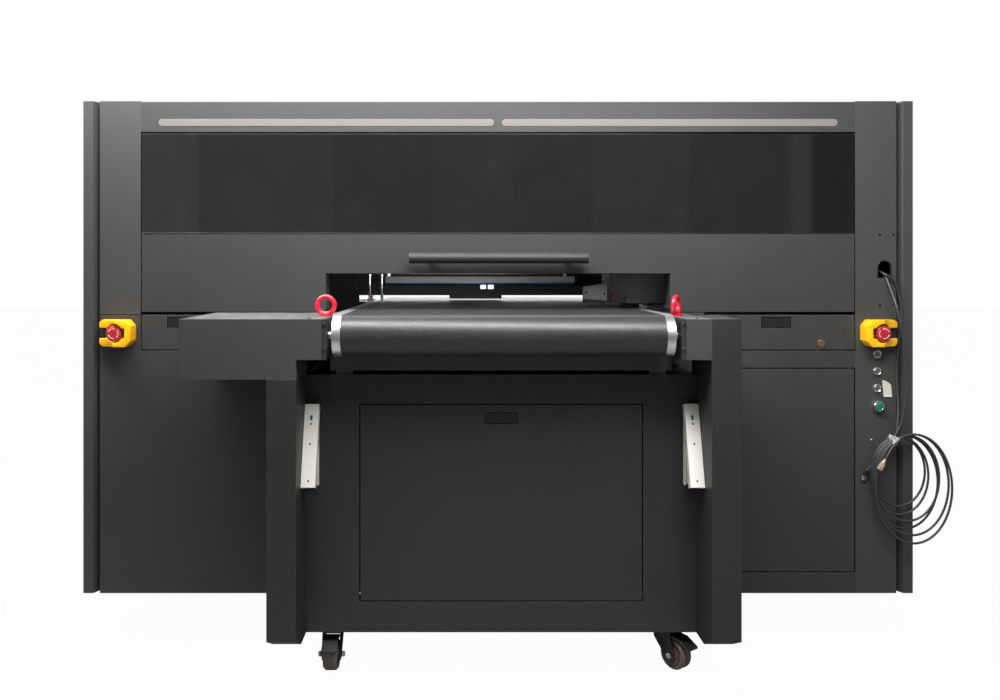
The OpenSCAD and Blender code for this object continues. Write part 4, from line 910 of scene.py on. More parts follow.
def build_push_buttons():
    """Bezels, barrels and nuts of the switches, and the caps that move in them."""
    bezels, blocks = [], []
    for node in ("top_button", "middle_button", "lower_button"):
        place = (middle(node).x, FRONT, middle(node).z)
        ring = [(7.2 * MM, -34 * MM), (9 * MM, -34 * MM), (9 * MM, 0.05 * MM), (11 * MM, 0.05 * MM),
                (11 * MM, 3 * MM), (10.2 * MM, 4.4 * MM), (8.8 * MM, 4.8 * MM), (7.2 * MM, 3.6 * MM),
                (7.2 * MM, -34 * MM)]
        bezels.append(turned_mesh(ring, place, (0, -1, 0), 40))
        nut = [(9.05 * MM, -6 * MM), (12.5 * MM, -6 * MM), (12.5 * MM, -2.6 * MM), (9.05 * MM, -2.6 * MM),
               (9.05 * MM, -6 * MM)]
        bezels.append(turned_mesh(nut, place, (0, -1, 0), 6))
        r = (high(node).x - low(node).x) / 2
        length = high(node).y - low(node).y
        cap = turned_mesh([(0, 0), (r, 0), (r, length - 0.8 * MM), (r - 0.5 * MM, length - 0.15 * MM),
                           (r - 1.1 * MM, length), (r - 1.6 * MM, length - 0.35 * MM),
                           (0, length - 0.35 * MM)], (place[0], high(node).y, place[2]), (0, -1, 0), 40)
        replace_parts(mesh_piece(node + "_cap", cap, "button_face", node), node)
    place = (middle("green_button").x, FRONT, middle("green_button").z)
    ring = [(9.1 * MM, -38 * MM), (11 * MM, -38 * MM), (11 * MM, 0.05 * MM), (14.5 * MM, 0.05 * MM),
            (14.5 * MM, 10 * MM), (13.8 * MM, 13.6 * MM), (12.6 * MM, 15.2 * MM), (10.6 * MM, 15.2 * MM),
            (9.1 * MM, 13.6 * MM), (9.1 * MM, -38 * MM)]
    bezels.append(turned_mesh(ring, place, (0, -1, 0), 48))
    node = "green_button"
    length = high(node).y - low(node).y
    cap = turned_mesh([(0, 0), (9 * MM, 0), (9 * MM, length - 1.2 * MM), (8.3 * MM, length - 0.3 * MM),
                       (7 * MM, length), (0, length)], (place[0], high(node).y, place[2]), (0, -1, 0), 40)
    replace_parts(mesh_piece("green_button_cap", cap, "green_face", node), node)
    for side in (-1, 1):
        place = (side * CONTROL_X, FRONT, ESTOP_Z)
        bezels.append(turned_mesh([(8.1 * MM, -36 * MM), (11 * MM, -36 * MM), (11 * MM, 4.2 * MM),
                                   (14 * MM, 4.2 * MM), (14 * MM, 14 * MM), (13 * MM, 15.6 * MM),
                                   (8.1 * MM, 15.6 * MM), (8.1 * MM, -36 * MM)], place, (0, -1, 0), 40))
        blocks.append(box_mesh((place[0] - 14.5 * MM, FRONT + 38 * MM, ESTOP_Z - 14.5 * MM),
                               (place[0] + 14.5 * MM, FRONT + 61 * MM, ESTOP_Z + 14.5 * MM), 1.2 * MM))
    piece = mesh_piece("switch_bezels", joined(*bezels), "button_metal", "frame")
    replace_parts(piece, "switch_bodies")
    mesh_piece("switch_contact_blocks", joined(*blocks), "latch_black", "frame")


def build_tape_tag():
    """A blank strip of masking tape left beside the lower buttons, one corner lifted."""
    corners = [(1018.5, 701), (1030, 697), (1042, 688), (1044.5, 657), (1041, 654.5), (1036, 656),
               (1022, 655)]
    bm = plate_mesh([mm(x, z) for x, z in corners], 0.25 * MM)
    bmesh.ops.triangulate(bm, faces=bm.faces)
    bmesh.ops.subdivide_edges(bm, edges=bm.edges[:], cuts=4, use_grid_fill=True)
    lift_from = 664 * MM
    for v in bm.verts:
        v.co.y += FRONT - 0.45 * MM
        lift = max(0.0, lift_from - v.co.z) / (10 * MM)
        v.co.y -= 2.2 * MM * lift * lift
        v.co.y -= 0.35 * MM * max(0.0, math.sin(v.co.x * 420 + v.co.z * 260))
    mesh_piece("masking_tape_tag", bm, "masking_tape", "frame")


def build_cable_tie():
    """A wrap of clear tape that holds the turns of the coil together."""
    front, back = -451.5 * MM, -403.5 * MM
    centre_x, centre_z = 1033.5 * MM, 546.5 * MM
    half_y, half_t = (back - front) / 2, 5.6 * MM
    rings = []
    bm = bmesh.new()
    lean = math.radians(62)
    along = Vector((math.cos(lean), 0, math.sin(lean)))
    across = Vector((-math.sin(lean), 0, math.cos(lean)))
    for step in range(9):
        shift = (step / 8 - 0.5) * 21 * MM
        ring = []
        for k in range(40):
            angle = 2 * math.pi * k / 40
            c, s = math.cos(angle), math.sin(angle)
            wrinkle = 0.5 * MM * math.sin(5 * angle + step * 1.3) + 0.3 * MM * math.sin(11 * angle - step)
            y = (half_y - 1 * MM + wrinkle) * math.copysign(abs(c) ** 0.35, c)
            t = (half_t + wrinkle) * math.copysign(abs(s) ** 0.6, s)
            place = Vector((centre_x, (front + back) / 2 + y, centre_z)) + along * shift + across * t
            ring.append(bm.verts.new(place))
        rings.append(ring)
    for one, two in zip(rings, rings[1:]):
        for k in range(40):
            n = (k + 1) % 40
            bm.faces.new((one[k], one[n], two[n], two[k]))
    bmesh.ops.recalc_face_normals(bm, faces=bm.faces)
    bmesh.ops.solidify(bm, geom=bm.faces[:], thickness=0.35 * MM)
    mesh_piece("cable_tie_tape", bm, "clear_tape", "frame")


# --- inside the media tunnel -----------------------------------------------------------

TUNNEL_HW = 457 * MM
TUNNEL_TOP = 983 * MM


def row_of_blocks_tree():
    """Equal blocks in a row: Count blocks of one Size, a Step apart, hung off their point and turned."""
    tree = bpy.data.node_groups.new("row_of_blocks", "GeometryNodeTree")
    for title, kind, value in (("Count", "Int", 10), ("Step", "Vector", (0.04, 0, 0)),
                               ("Size", "Vector", (0.04, 0.002, 0.08)), ("Offset", "Vector", (0, 0, 0)),
                               ("Turn", "Vector", (0, 0, 0)), ("Sway", "Float", 0.0), ("Seed", "Int", 4)):
        socket = tree.interface.new_socket(title, in_out="INPUT", socket_type="NodeSocket" + kind)
        socket.default_value = value
    tree.interface.new_socket("Material", in_out="INPUT", socket_type="NodeSocketMaterial")
    tree.interface.new_socket("Geometry", in_out="OUTPUT", socket_type="NodeSocketGeometry")
    nodes, links = tree.nodes, tree.links
    start, end = nodes.new("NodeGroupInput"), nodes.new("NodeGroupOutput")
    line = nodes.new("GeometryNodeMeshLine")
    links.new(start.outputs["Count"], line.inputs["Count"])
    links.new(start.outputs["Step"], line.inputs["Offset"])
    block = nodes.new("GeometryNodeMeshCube")
    links.new(start.outputs["Size"], block.inputs["Size"])
    hang = nodes.new("GeometryNodeTransform")
    links.new(block.outputs["Mesh"], hang.inputs["Geometry"])
    links.new(start.outputs["Offset"], hang.inputs["Translation"])
    sway = nodes.new("FunctionNodeRandomValue")
    sway.data_type = "FLOAT"
    negative = math_in(tree, "MULTIPLY", start.outputs["Sway"], -1)
    links.new(negative, sway.inputs[2])
    links.new(start.outputs["Sway"], sway.inputs[3])
    links.new(start.outputs["Seed"], sway.inputs["Seed"])
    lean = nodes.new("ShaderNodeCombineXYZ")
    links.new(sway.outputs[1], lean.inputs["X"])
    turn = nodes.new("ShaderNodeVectorMath")
    links.new(start.outputs["Turn"], turn.inputs[0])
    links.new(lean.outputs["Vector"], turn.inputs[1])
    place = nodes.new("GeometryNodeInstanceOnPoints")
    links.new(line.outputs["Mesh"], place.inputs["Points"])
    links.new(hang.outputs["Geometry"], place.inputs["Instance"])
    links.new(turn.outputs["Vector"], place.inputs["Rotation"])
    finish_tree(tree, place.outputs["Instances"], start, end)
    return tree


def screw_heads_tree():
    """A pan head with a round recess on each point of the mesh it is given."""
    tree = bpy.data.node_groups.new("screw_heads", "GeometryNodeTree")
    tree.interface.new_socket("Geometry", in_out="INPUT", socket_type="NodeSocketGeometry")
    for title, kind, value in (("Radius", "Float", 0.004), ("Height", "Float", 0.002),
                               ("Turn", "Vector", (0, 0, 0))):
        socket = tree.interface.new_socket(title, in_out="INPUT", socket_type="NodeSocket" + kind)
        socket.default_value = value
    tree.interface.new_socket("Material", in_out="INPUT", socket_type="NodeSocketMaterial")
    tree.interface.new_socket("Geometry", in_out="OUTPUT", socket_type="NodeSocketGeometry")
    nodes, links = tree.nodes, tree.links
    start, end = nodes.new("NodeGroupInput"), nodes.new("NodeGroupOutput")
    head = nodes.new("GeometryNodeMeshCylinder")
    head.inputs["Vertices"].default_value = 16
    links.new(start.outputs["Radius"], head.inputs["Radius"])
    links.new(start.outputs["Height"], head.inputs["Depth"])
    mesh, top = head.outputs["Mesh"], head.outputs["Top"]
    for rise, scale in ((0.35, 0.78), (0.0, 0.6), (-0.9, 0.92)):
        extrude = nodes.new("GeometryNodeExtrudeMesh")
        extrude.inputs["Individual"].default_value = False
        links.new(mesh, extrude.inputs["Mesh"])
        links.new(top, extrude.inputs["Selection"])
        links.new(math_in(tree, "MULTIPLY", start.outputs["Height"], rise), extrude.inputs["Offset Scale"])
        shrink = nodes.new("GeometryNodeScaleElements")
        links.new(extrude.outputs["Mesh"], shrink.inputs["Geometry"])
        links.new(extrude.outputs["Top"], shrink.inputs["Selection"])
        shrink.inputs["Scale"].default_value = scale
        mesh, top = shrink.outputs["Geometry"], extrude.outputs["Top"]
    place = nodes.new("GeometryNodeInstanceOnPoints")
    links.new(start.outputs["Geometry"], place.inputs["Points"])
    links.new(mesh, place.inputs["Instance"])
    links.new(start.outputs["Turn"], place.inputs["Rotation"])
    finish_tree(tree, place.outputs["Instances"], start, end)
    return tree


def math_in(tree, operation, a, b):
    node = tree.nodes.new("ShaderNodeMath")
    node.operation = operation
    tree.links.new(a, node.inputs[0])
    node.inputs[1].default_value = b
    return node.outputs["Value"]


def finish_tree(tree, instances, start, end):
    """Realize Instances and Set Material, as every tree ends."""
    real = tree.nodes.new("GeometryNodeRealizeInstances")
    tree.links.new(instances, real.inputs["Geometry"])
    paint = tree.nodes.new("GeometryNodeSetMaterial")
    tree.links.new(real.outputs["Geometry"], paint.inputs["Geometry"])
    tree.links.new(start.outputs["Material"], paint.inputs["Material"])
    tree.links.new(paint.outputs["Geometry"], end.inputs["Geometry"])


def from_tree(tree, values, place=(0, 0, 0), points=()):
    """The plain mesh that a tree makes with these values, moved to its place."""
    base = bpy.data.meshes.new("carrier")
    base.from_pydata([Vector(point) for point in points], [], [])
    carrier = bpy.data.objects.new("carrier", base)
    bpy.context.scene.collection.objects.link(carrier)
    maker = carrier.modifiers.new("maker", "NODES")
    maker.node_group = tree
    sockets = {item.name: item.identifier for item in tree.interface.items_tree if item.in_out == "INPUT"}
    for title, value in values.items():
        maker[sockets[title]] = value
    bpy.context.view_layer.update()
    mesh = bpy.data.meshes.new_from_object(carrier.evaluated_get(bpy.context.evaluated_depsgraph_get()))
    bpy.data.objects.remove(carrier)
    bm = bmesh.new()
    bm.from_mesh(mesh)
    bpy.data.meshes.remove(mesh)
    return moved(bm, Matrix.Translation(place))


def blocks(count, step, size, place, finish, turn=(0, 0, 0), offset=(0, 0, 0), sway=0.0, seed=4):
    """A row of blocks in millimetres, as a bmesh."""
    values = {"Count": count, "Step": mm(*step), "Size": mm(*size), "Offset": mm(*offset),
              "Turn": tuple(math.radians(a) for a in turn), "Sway": sway, "Seed": seed,
              "Material": finishes[finish]}
    return from_tree(trees["row_of_blocks"], values, mm(*place))


FACING = {"up": (0, 0, 0), "back": (-90, 0, 0), "front": (90, 0, 0), "right": (0, 90, 0),
          "left": (0, -90, 0)}


def screws(points, facing, finish="screw_black", radius=4.2, height=2.0):
    """Screw heads at points in millimetres, facing one way, as a bmesh."""
    values = {"Radius": radius * MM, "Height": height * MM,
              "Turn": tuple(math.radians(a) for a in FACING[facing]), "Material": finishes[finish]}
    return from_tree(trees["screw_heads"], values, points=[mm(*point) for point in points])


def build_tunnel_inside():
    """Rear strip curtain with its rail, the covers of the static bar, and the feeler rods."""
    hem = BACK / MM - 12
    edge, top = TUNNEL_HW / MM, TUNNEL_TOP / MM
    parts = []
    for count, first, length in ((7, 0, 80), (4, 7, 92), (9, 11, 80)):
        parts.append(blocks(count, (45.6, 0, 0), (47.5, 1.6, length), (23 - edge + first * 45.6, hem, top),
                            "curtain_rubber", offset=(0, 0, -length / 2), sway=0.02, seed=3 + first))
    mesh_piece("rear_strip_curtain", joined(*parts), "curtain_rubber", "frame", smooth=False)
    rail = box_mesh(mm(-edge, hem - 5, top - 6), mm(edge, hem + 9, top + 12), 1.2 * MM)
    mesh_piece("curtain_rail", rail, "bright_steel", "frame")
    bar = box_mesh(mm(-348, 186, 952), mm(278, 189.6, 970.5), 0.8 * MM)
    mesh_piece("static_bar_cover", bar, "bar_grey", "gantry")
    lens = box_mesh(mm(-346, 186.4, 946.5), mm(276, 189.6, 951.4), 0.6 * MM)
    mesh_piece("static_bar_insulator", lens, "insulator_blue", "gantry")
    # two glowing caps: a painted highlight standing in for a bright double reflection inside the tunnel
    glint_caps = joined(box_mesh(mm(-34, 181, 929), mm(-15, 186.5, 943), 2 * MM),
                   box_mesh(mm(-9, 181, 929), mm(10, 186.5, 943), 2 * MM))
    mesh_piece("tunnel_glint_caps", glint_caps, "painted_glint_glow", "gantry")
    for k, x in enumerate((-360, -400)):
        rod = turned_mesh([(0, 0), (4.6 * MM, 0.4 * MM), (5 * MM, 4 * MM), (5 * MM, 84 * MM),
                           (4.6 * MM, 88 * MM), (0, 88.2 * MM)], mm(x, 200, 893), (0, 0, 1), 24)
        cap = turned_mesh([(0, 0), (9 * MM, 0), (9 * MM, 8 * MM), (6 * MM, 11 * MM), (0, 11 * MM)],
                          mm(x, 200, 970), (0, 0, 1), 24)
        mesh_piece("feeler_rod_%d" % (k + 1), joined(rod, cap), "polished_steel", "gantry")


def build_carriage_front():
    """Height-sensor plate with its knob at the left of the carriage, and vents in its lamp houses."""
    face = low("print_carriage").y / MM
    outline = [(241, 913), (306, 906), (306, 956), (241, 946)]
    plate = moved(plate_mesh([mm(x, z) for x, z in outline], 1.6 * MM, 0.3 * MM),
                  Matrix.Translation(mm(0, face - 2, 0)))
    mesh_piece("sensor_plate", plate, "zinc", "carriage")
    # two black discs on the plate's face stand for its holes: painted shade where the holes show dark
    hole_shade_discs = joined(*[turned_mesh([(0, 0), (3 * MM, 0), (3 * MM, 0.8 * MM), (0, 0.8 * MM)],
                                mm(x, face - 2, z), (0, -1, 0), 20) for x, z in ((248, 930), (299, 925))])
    mesh_piece("sensor_plate_hole_shades", hole_shade_discs, "latch_black", "carriage")
    knob = turned_mesh([(0, 0), (7 * MM, 0), (7 * MM, 9 * MM), (6 * MM, 11 * MM), (0, 11 * MM)],
                       mm(324, face - 2, 916), (0, -1, 0), 24)
    mesh_piece("sensor_knob", knob, "estop_red", "carriage")
    x0, x1 = low("print_carriage").x / MM, high("print_carriage").x / MM
    vents = joined(blocks(9, (0, 0, 13), (54, 2, 6), (x1 - 40, face + 6, 1050), "latch_black", (24, 0, 0)),
                   blocks(9, (0, 0, 13), (54, 2, 6), (x0 + 116, face + 6, 1050), "latch_black", (24, 0, 0)))
    mesh_piece("lamp_house_vents", vents, "latch_black", "carriage", smooth=False)


# --- fasteners, casters and rear side ------------------------------------------------------

def build_fasteners():
    """Screw rows on the fixed covers, the roof and the conveyor."""
    back, roof = BACK / MM, high("top_cover").z / MM
    side, table = HALF_W / MM, TABLE_Z / MM
    rear = [(x, back + 1, z) for x in range(-1030, 1031, 206) for z in (152, 1414)]
    rear += [(x, back + 1, z) for x in (-1036, 1036) for z in range(340, 1300, 188)]
    mesh_piece("rear_panel_screws", screws(rear, "back"), "screw_black", "frame")
    lid = [(x, 384, roof + 0.9) for x in range(-1020, 1021, 204)]
    mesh_piece("roof_screws", screws(lid, "up"), "screw_black", "frame")
    zs = range(190, 1400, 240)
    left = screws([(-side - 0.6, 372, z) for z in zs], "left")
    right = screws([(side + 0.6, 372, z) for z in zs], "right")
    mesh_piece("side_cover_screws", joined(left, right), "screw_black", "frame")
    tops = [(sign * 452, end * y, table + 0.8) for sign in (-1, 1) for end in (-1, 1)
            for y in (430, 520, 690)]
    mesh_piece("table_screws", screws(tops, "up", radius=3.4, height=1.6), "screw_black", "frame")


def caster_bolt(centre, axis, reach):
    """Hex head and nut on the two ends of an axle."""
    parts = []
    for sign in (-1, 1):
        way = Vector(axis) * sign
        start = Vector(centre) + way * reach
        parts.append(turned_mesh([(0, 0), (8 * MM, 0), (8 * MM, 1.2 * MM), (6.6 * MM, 1.2 * MM),
                                  (6.6 * MM, 5 * MM), (5.8 * MM, 6 * MM), (0, 6 * MM)], start, way, 6))
    return joined(*parts)


def wheel_hubs(centre, axis, reach):
    parts = []
    for sign in (-1, 1):
        way = Vector(axis) * sign
        start = Vector(centre) + way * (reach - 1.5 * MM)
        parts.append(turned_mesh([(0, 0), (23 * MM, 0), (23 * MM, 1.5 * MM), (20 * MM, 2.2 * MM),
                                  (13 * MM, 1.2 * MM), (9 * MM, 3.6 * MM), (0, 3.6 * MM)], start, way, 32))
    return joined(*parts)


def build_casters():
    spin = {joint["child"]: joint for joint in frame["joints"]}
    for node in ("front_left_wheel", "front_right_wheel", "rear_left_wheel", "rear_right_wheel"):
        centre, axis = spin[node]["pos_m"], Vector(spin[node]["axis"]).normalized()
        mesh_piece(node + "_hubs", wheel_hubs(centre, axis, 19 * MM), "hub_brown", node)
        fork = {"front_left_wheel": "left_caster_fork", "front_right_wheel": "right_caster_fork"}.get(node)
        mesh_piece(node + "_axle_nuts", caster_bolt(centre, axis, 26.9 * MM), "zinc", fork or "frame")


def fan_parts(x, z, size):
    """One fan behind its wire guard, on the rear panel."""
    y = BACK / MM
    half = size / 2
    corner = size * 0.1
    outline = [(half - corner, -half), (half, -half + corner), (half, half - corner), (half - corner, half),
               (corner - half, half), (-half, half - corner), (-half, corner - half), (corner - half, -half)]
    plate = plate_mesh([mm(a, b) for a, b in outline], 3 * MM, 0.6 * MM)
    plate = moved(plate, Matrix.Translation(mm(x, y, z)))
    wires = []
    for r in (0.14, 0.22, 0.30, 0.38, 0.45):
        ring = [mm(x + size * r * math.cos(a * math.pi / 20), y + 9,
                   z + size * r * math.sin(a * math.pi / 20)) for a in range(40)]
        wires.append(tube_mesh(ring, 0.9 * MM, 6, closed=True))
    for k in range(4):
        angle = math.pi / 4 + k * math.pi / 2
        ends = [mm(x + size * r * math.cos(angle), y + h, z + size * r * math.sin(angle))
                for r, h in ((0.14, 10.5), (0.47, 10.5), (0.58, 3.5))]
        wires.append(tube_mesh(ends, 1.1 * MM, 6))
    blades = []
    for k in range(7):
        blade = box_mesh(mm(-size * 0.075, -0.6, size * 0.10), mm(size * 0.075, 0.6, size * 0.43))
        turn = Matrix.Rotation(2 * math.pi * k / 7, 4, "Y") @ Matrix.Rotation(math.radians(32), 4, "Z")
        blades.append(moved(blade, Matrix.Translation(mm(x, y + 4.5, z)) @ turn))
    blades.append(turned_mesh([(0, 3 * MM), (size * 0.13 * MM, 3 * MM), (size * 0.13 * MM, 7.5 * MM),
                               (size * 0.11 * MM, 8 * MM), (0, 8 * MM)], mm(x, y, z), (0, 1, 0), 32))
    return plate, joined(*wires), joined(*blades)


def build_rear_side():
    """Fans and louvres for the control box and the lamp, and the power inlet with its isolator."""
    y = BACK / MM
    plates, wires, blades = [], [], []
    for x, z, size in ((-820, 1230, 150), (-620, 1230, 150), (620, 1230, 150), (820, 1230, 150),
                       (-820, 320, 120), (-660, 320, 120)):
        plate, guard, fan = fan_parts(x, z, size)
        plates.append(plate)
        wires.append(guard)
        blades.append(fan)
    mesh_piece("fan_frames", joined(*plates), "latch_black", "frame")
    mesh_piece("fan_guards", joined(*wires), "bright_steel", "frame")
    mesh_piece("fan_blades", joined(*blades), "head_black", "frame")
    louvres = [blocks(11, (0, 0, 18), (300, 8, 7), (x, y + 2, 470), "body_coat", (-38, 0, 0))
               for x in (-740, 740)]
    frames = [joined(*[box_mesh(mm(x + a, y, 455 + b), mm(x + a + w, y + 6, 455 + b + h), 0.8 * MM)
                       for a, b, w, h in ((-160, 0, 320, 8), (-160, 202, 320, 8), (-160, 8, 8, 194),
                                          (152, 8, 8, 194))]) for x in (-740, 740)]
    mesh_piece("rear_louvres", joined(*louvres, *frames), "body_coat", "frame", smooth=False)
    panel = moved(plate_mesh([mm(600, 225), mm(880, 225), mm(880, 375), mm(600, 375)], 2.5 * MM, 0.5 * MM),
                  Matrix.Translation(mm(0, y, 0)))
    mesh_piece("inlet_panel", panel, "zinc", "frame")
    switch = box_mesh(mm(630, y + 2.5, 262), mm(706, y + 9, 338), 2 * MM)
    mesh_piece("isolator_plate", switch, "guard_yellow", "frame")
    dial = turned_mesh([(0, 0), (26 * MM, 0), (26 * MM, 5 * MM), (24 * MM, 7 * MM), (0, 7 * MM)],
                       mm(668, y + 9, 300), (0, 1, 0), 40)
    grip = box_mesh(mm(662, y + 15, 277), mm(674, y + 33, 323), 3 * MM, 3)
    mesh_piece("isolator_knob", joined(dial, grip), "estop_red", "frame")
    socket = [(0, 0), (30 * MM, 0), (30 * MM, 8 * MM), (26 * MM, 24 * MM), (23 * MM, 30 * MM),
              (20 * MM, 30 * MM), (20 * MM, 6 * MM), (0, 6 * MM)]
    mesh_piece("power_inlet", turned_mesh(socket, mm(800, y + 2.5, 300), (0, 1, 0), 40), "insulator_blue",
               "frame")
    bolts = [(x, y + 3.3, z) for x in (612, 868) for z in (237, 363)]
    mesh_piece("inlet_screws", screws(bolts, "back", "zinc", 3.2, 1.6), "zinc", "frame")


# --- hood, doors and brackets ---------------------------------------------------------------

def build_hood_trim():
    """Gasket round the smoked window."""
    y = low("hood_window").y / MM
    z0, z1 = low("hood_window").z / MM, high("hood_window").z / MM
    x = high("hood_window").x / MM
    strips = joined(box_mesh(mm(-x, y - 0.5, z0 - 2.2), mm(x, y + 1, z0 + 1), 0.3 * MM),
                    box_mesh(mm(-x, y - 0.4, z1 - 2), mm(x, y + 1, z1 + 0.3), 0.2 * MM))
    mesh_piece("window_gasket", strips, "latch_black", "hood")


def build_column_trim():
    """Rubber edge on the arch of the cable hole, a cable stud, and bolts beside the front roller."""
    x, z, half = 1024, 999.5, 17.5
    arch = [mm(x - half, -400.4, 972), mm(x - half, -400.4, z)]
    arch += [mm(x - half * math.cos(a * math.pi / 12), -400.4, z + half * math.sin(a * math.pi / 12))
             for a in range(1, 12)]
    arch += [mm(x + half, -400.4, z), mm(x + half, -400.4, 972)]
    mesh_piece("cable_hole_edging", tube_mesh(arch, 1.3 * MM, 8), "latch_black", "frame")
    stud = turned_mesh([(0, 0), (2.4 * MM, 0), (2.4 * MM, 2.5 * MM), (1.6 * MM, 3.4 * MM), (0, 3.4 * MM)],
                       mm(990, -400, 542), (0, -1, 0), 16)
    mesh_piece("cable_stud", stud, "zinc", "frame")
    face = low("conveyor_rails").y / MM
    bolts = [(side * 414.5, face - 0.8, height) for side in (-1, 1) for height in (809, 867)]
    mesh_piece("roller_bracket_bolts", screws(bolts, "front", radius=4.4, height=1.8), "screw_black",
               "frame")


def build_shelf_rivets():
    """Riveted ends of the pins in both shelf brackets."""
    for side in ("left", "right"):
        joint = next(j for j in frame["joints"] if j["name"] == side + "_shelf_link_pivot")
        hinge = next(j for j in frame["joints"] if j["name"] == side + "_shelf_hinge")
        for name, pivot, body in (("_shelf_hinge_rivets", hinge["pos_m"], "frame"),
                                  ("_shelf_link_rivets", joint["pos_m"], side + "_shelf_arm")):
            heads = []
            for way in (-1, 1):
                start = (pivot[0] + way * 17 * MM, pivot[1], pivot[2])
                heads.append(turned_mesh([(0, 0), (5 * MM, 0), (5 * MM, 0.8 * MM), (3.6 * MM, 2 * MM),
                                          (0, 2.4 * MM)], start, (way, 0, 0), 24))
            mesh_piece(side + name, joined(*heads), "zinc", body)


def build_bracket_hole_shades():
    """Black discs and bars set just inside the screw holes and slot in the face of each shelf arm: painted shade,
    so the holes read dark instead of showing the pale leg behind.
    """
    for side in ("left", "right"):
        hinge = next(j for j in frame["joints"] if j["name"] == side + "_shelf_hinge")
        # black discs in the holes and slot: painted shade
        parts = [turned_mesh([(0, 0), (2.45 * MM, 0), (2.45 * MM, 1.4 * MM), (0, 1.4 * MM)],
                             mm(0, -12.2, z), (0, -1, 0), 20) for z in (-40, -88, -175)]
        parts.append(box_mesh(mm(-2.9, -13.6, -24.4), mm(2.9, -12.2, -19.6)))
        parts.append(box_mesh(mm(-2.9, -13.6, -30.4), mm(2.9, -12.2, -25.6)))
        lean = Matrix.Translation(hinge["pos_m"]) @ Matrix.Rotation(math.radians(-18), 4, "X")
        mesh_piece(side + "_arm_hole_shades", moved(joined(*parts), lean), "latch_black", side + "_shelf_arm")


# --- inside the body -------------------------------------------------------------------------

def build_ink_details():
    """Screw caps and colour bands on the four tanks."""
    inks = ("ink_cyan", "ink_magenta", "ink_yellow", "ink_black")
    box = low("ink_system")
    x0 = box.x / MM + 28 + 44
    for k, ink in enumerate(inks):
        x, y = x0 + 106 * k, -350 + 60
        cap = turned_mesh([(0, 0), (24 * MM, 0), (25 * MM, 2 * MM), (25 * MM, 17 * MM), (23 * MM, 20 * MM),
                           (0, 20 * MM)], mm(x, y, 601), (0, 0, 1), 24)
        mesh_piece(ink + "_cap", cap, "latch_black", "frame")
        band = box_mesh(mm(x - 30, -331.5, 440), mm(x + 30, -329.6, 500), 0.5 * MM)
        mesh_piece(ink + "_band", band, ink, "frame")


def build_control_details():
    """Terminal rows and cable duct in the control box."""
    back = -142
    rows = joined(blocks(34, (9.5, 0, 0), (8.6, 22, 44), (-818, back - 12, 410), "bar_grey"),
                  blocks(34, (9.5, 0, 0), (4.4, 4, 4), (-818, back - 24, 424), "bar_grey"))
    mesh_piece("terminal_rows", rows, "terminal_beige", "frame", smooth=False)
    duct = joined(blocks(38, (10, 0, 0), (5.6, 3, 40), (-840, back - 34, 365), "bar_grey"),
                  box_mesh(mm(-846, back - 34, 343), mm(-464, back - 2, 348), 0.5 * MM),
                  box_mesh(mm(-846, back - 34, 383), mm(-464, back - 2, 387), 0.5 * MM))
    mesh_piece("wiring_duct", duct, "bar_grey", "frame", smooth=False)


def build_blower():
    """Side-channel blower on its tray below the belt table, with the hose that goes up to it."""
    tray = box_mesh(mm(-365, -150, 118), mm(365, 150, 122), 0.5 * MM)
    mesh_piece("blower_tray", tray, "zinc", "frame")
    shaft = mm(-60, 0, 278)
    wheel_case = [(0, 0), (132, 0), (140, 8), (140, 62), (132, 70), (96, 74), (92, 60), (0, 60)]
    motor_case = [(0, 0), (78, 0), (78, 150), (84, 152), (84, 188), (60, 200), (0, 200)]
    housing = turned_mesh([(r * MM, h * MM) for r, h in wheel_case], shaft, (1, 0, 0), 56)
    motor = turned_mesh([(r * MM, h * MM) for r, h in motor_case], shaft, (-1, 0, 0), 40)
    feet = joined(box_mesh(mm(-50, -110, 122), mm(0, 110, 150), 3 * MM),
                  box_mesh(mm(-220, -70, 122), mm(-90, 70, 206), 3 * MM))
    mesh_piece("blower", joined(housing, motor, feet), "motor_paint", "frame")
    fins = []
    for k in range(24):
        fin = box_mesh(mm(-204, -1.2, 74), mm(-66, 1.2, 86))
        turn = Matrix.Translation(mm(0, 0, 278)) @ Matrix.Rotation(2 * math.pi * k / 24, 4, "X")
        fins.append(moved(fin, turn))
    mesh_piece("blower_fins", joined(*fins), "motor_paint", "frame", smooth=False)
    pipe = smooth_route([(-20, 90, 340), (-20, 90, 470), (10, 60, 580), (60, 20, 690), (70, 0, 800),
                         (70, 0, 846)], 8)
    mesh_piece("suction_pipe", tube_mesh([p * MM for p in pipe], 26 * MM, 24), "latch_black", "frame")


# --- the scene ---------------------------------------------------------------------

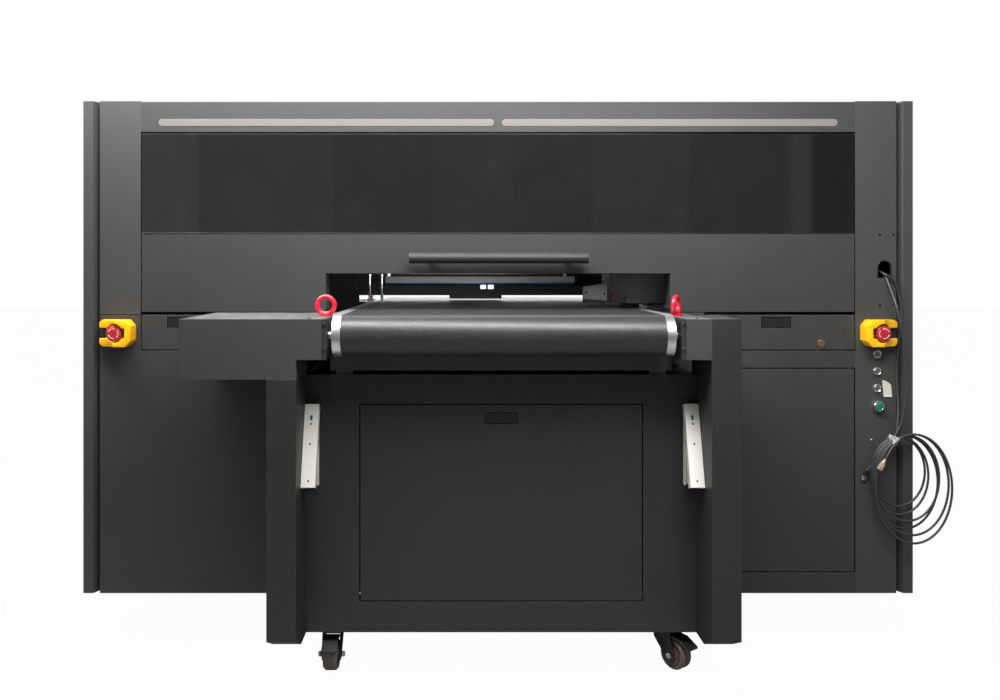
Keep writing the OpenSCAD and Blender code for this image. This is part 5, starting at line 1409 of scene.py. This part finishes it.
def build_floor():
    """A white studio floor on which only faint shadows show."""
    bpy.ops.mesh.primitive_plane_add(size=40, location=(0, 0, 0))
    floor = bpy.context.object
    floor.name = "floor"
    f = Finish("white_floor", (0.34, 0.34, 0.34), 0.8, specular=0.1)
    f.tint(noise_node(f.tree, f.place, 1.2, 3.0), (0.31, 0.31, 0.31), 0.4)
    material = f.done()
    nodes, links = f.tree.nodes, f.tree.links
    glow = nodes.new("ShaderNodeEmission")
    path = nodes.new("ShaderNodeLightPath")
    share = math_node(f.tree, "MULTIPLY", path.outputs["Is Camera Ray"], 0.97)
    mix = nodes.new("ShaderNodeMixShader")
    links.new(share, mix.inputs["Fac"])
    links.new(f.shader.outputs["BSDF"], mix.inputs[1])
    links.new(glow.outputs["Emission"], mix.inputs[2])
    links.new(mix.outputs["Shader"], nodes["Material Output"].inputs["Surface"])
    floor.data.materials.append(material)


def build_room_reflection():
    """Door panels of the room in front of the machine, seen only as reflections in glossy surfaces."""
    edges = (-4.6, -2.41, -1.21, -0.365, 0.388, 1.053, 1.94, 2.83, 3.02, 4.8)
    glows = (0.30, 0.23, 0.19, 0.21, 0.19, 0.22, 0.17, 0.26, 0.09)
    for k, glow in enumerate(glows):
        x0, x1 = edges[k] + 0.012, edges[k + 1] - 0.012
        corners = [(x0, -6, 0.7), (x1, -6, 0.7), (x1, -6, 3.2), (x0, -6, 3.2)]
        mesh = bpy.data.meshes.new("room_panel_%d" % (k + 1))
        mesh.from_pydata(corners, [], [(0, 1, 2, 3)])
        material = bpy.data.materials.new("room_panel_%d" % (k + 1))
        material.use_nodes = True
        nodes = material.node_tree.nodes
        light = nodes.new("ShaderNodeEmission")
        light.inputs["Color"].default_value = (0.95, 0.97, 1.0, 1)
        light.inputs["Strength"].default_value = glow
        material.node_tree.links.new(light.outputs["Emission"], nodes["Material Output"].inputs["Surface"])
        mesh.materials.append(material)
        panel = bpy.data.objects.new("room_panel_%d" % (k + 1), mesh)
        panel.visible_camera = False
        panel.visible_diffuse = False
        panel.visible_shadow = False
        bpy.context.scene.collection.objects.link(panel)


build_camera()
build_lights()
finishes = build_finishes()
build_floor()
build_room_reflection()
finish_frame_nodes(finishes)
build_cords()
build_estop_guards()
build_estop_heads()
build_push_buttons()
build_tape_tag()
build_cable_tie()
trees = {"row_of_blocks": row_of_blocks_tree(), "screw_heads": screw_heads_tree()}
build_tunnel_inside()
build_carriage_front()
build_fasteners()
build_casters()
build_rear_side()
build_hood_trim()
build_shelf_rivets()
build_bracket_hole_shades()
build_ink_details()
build_control_details()
build_column_trim()
build_blower()
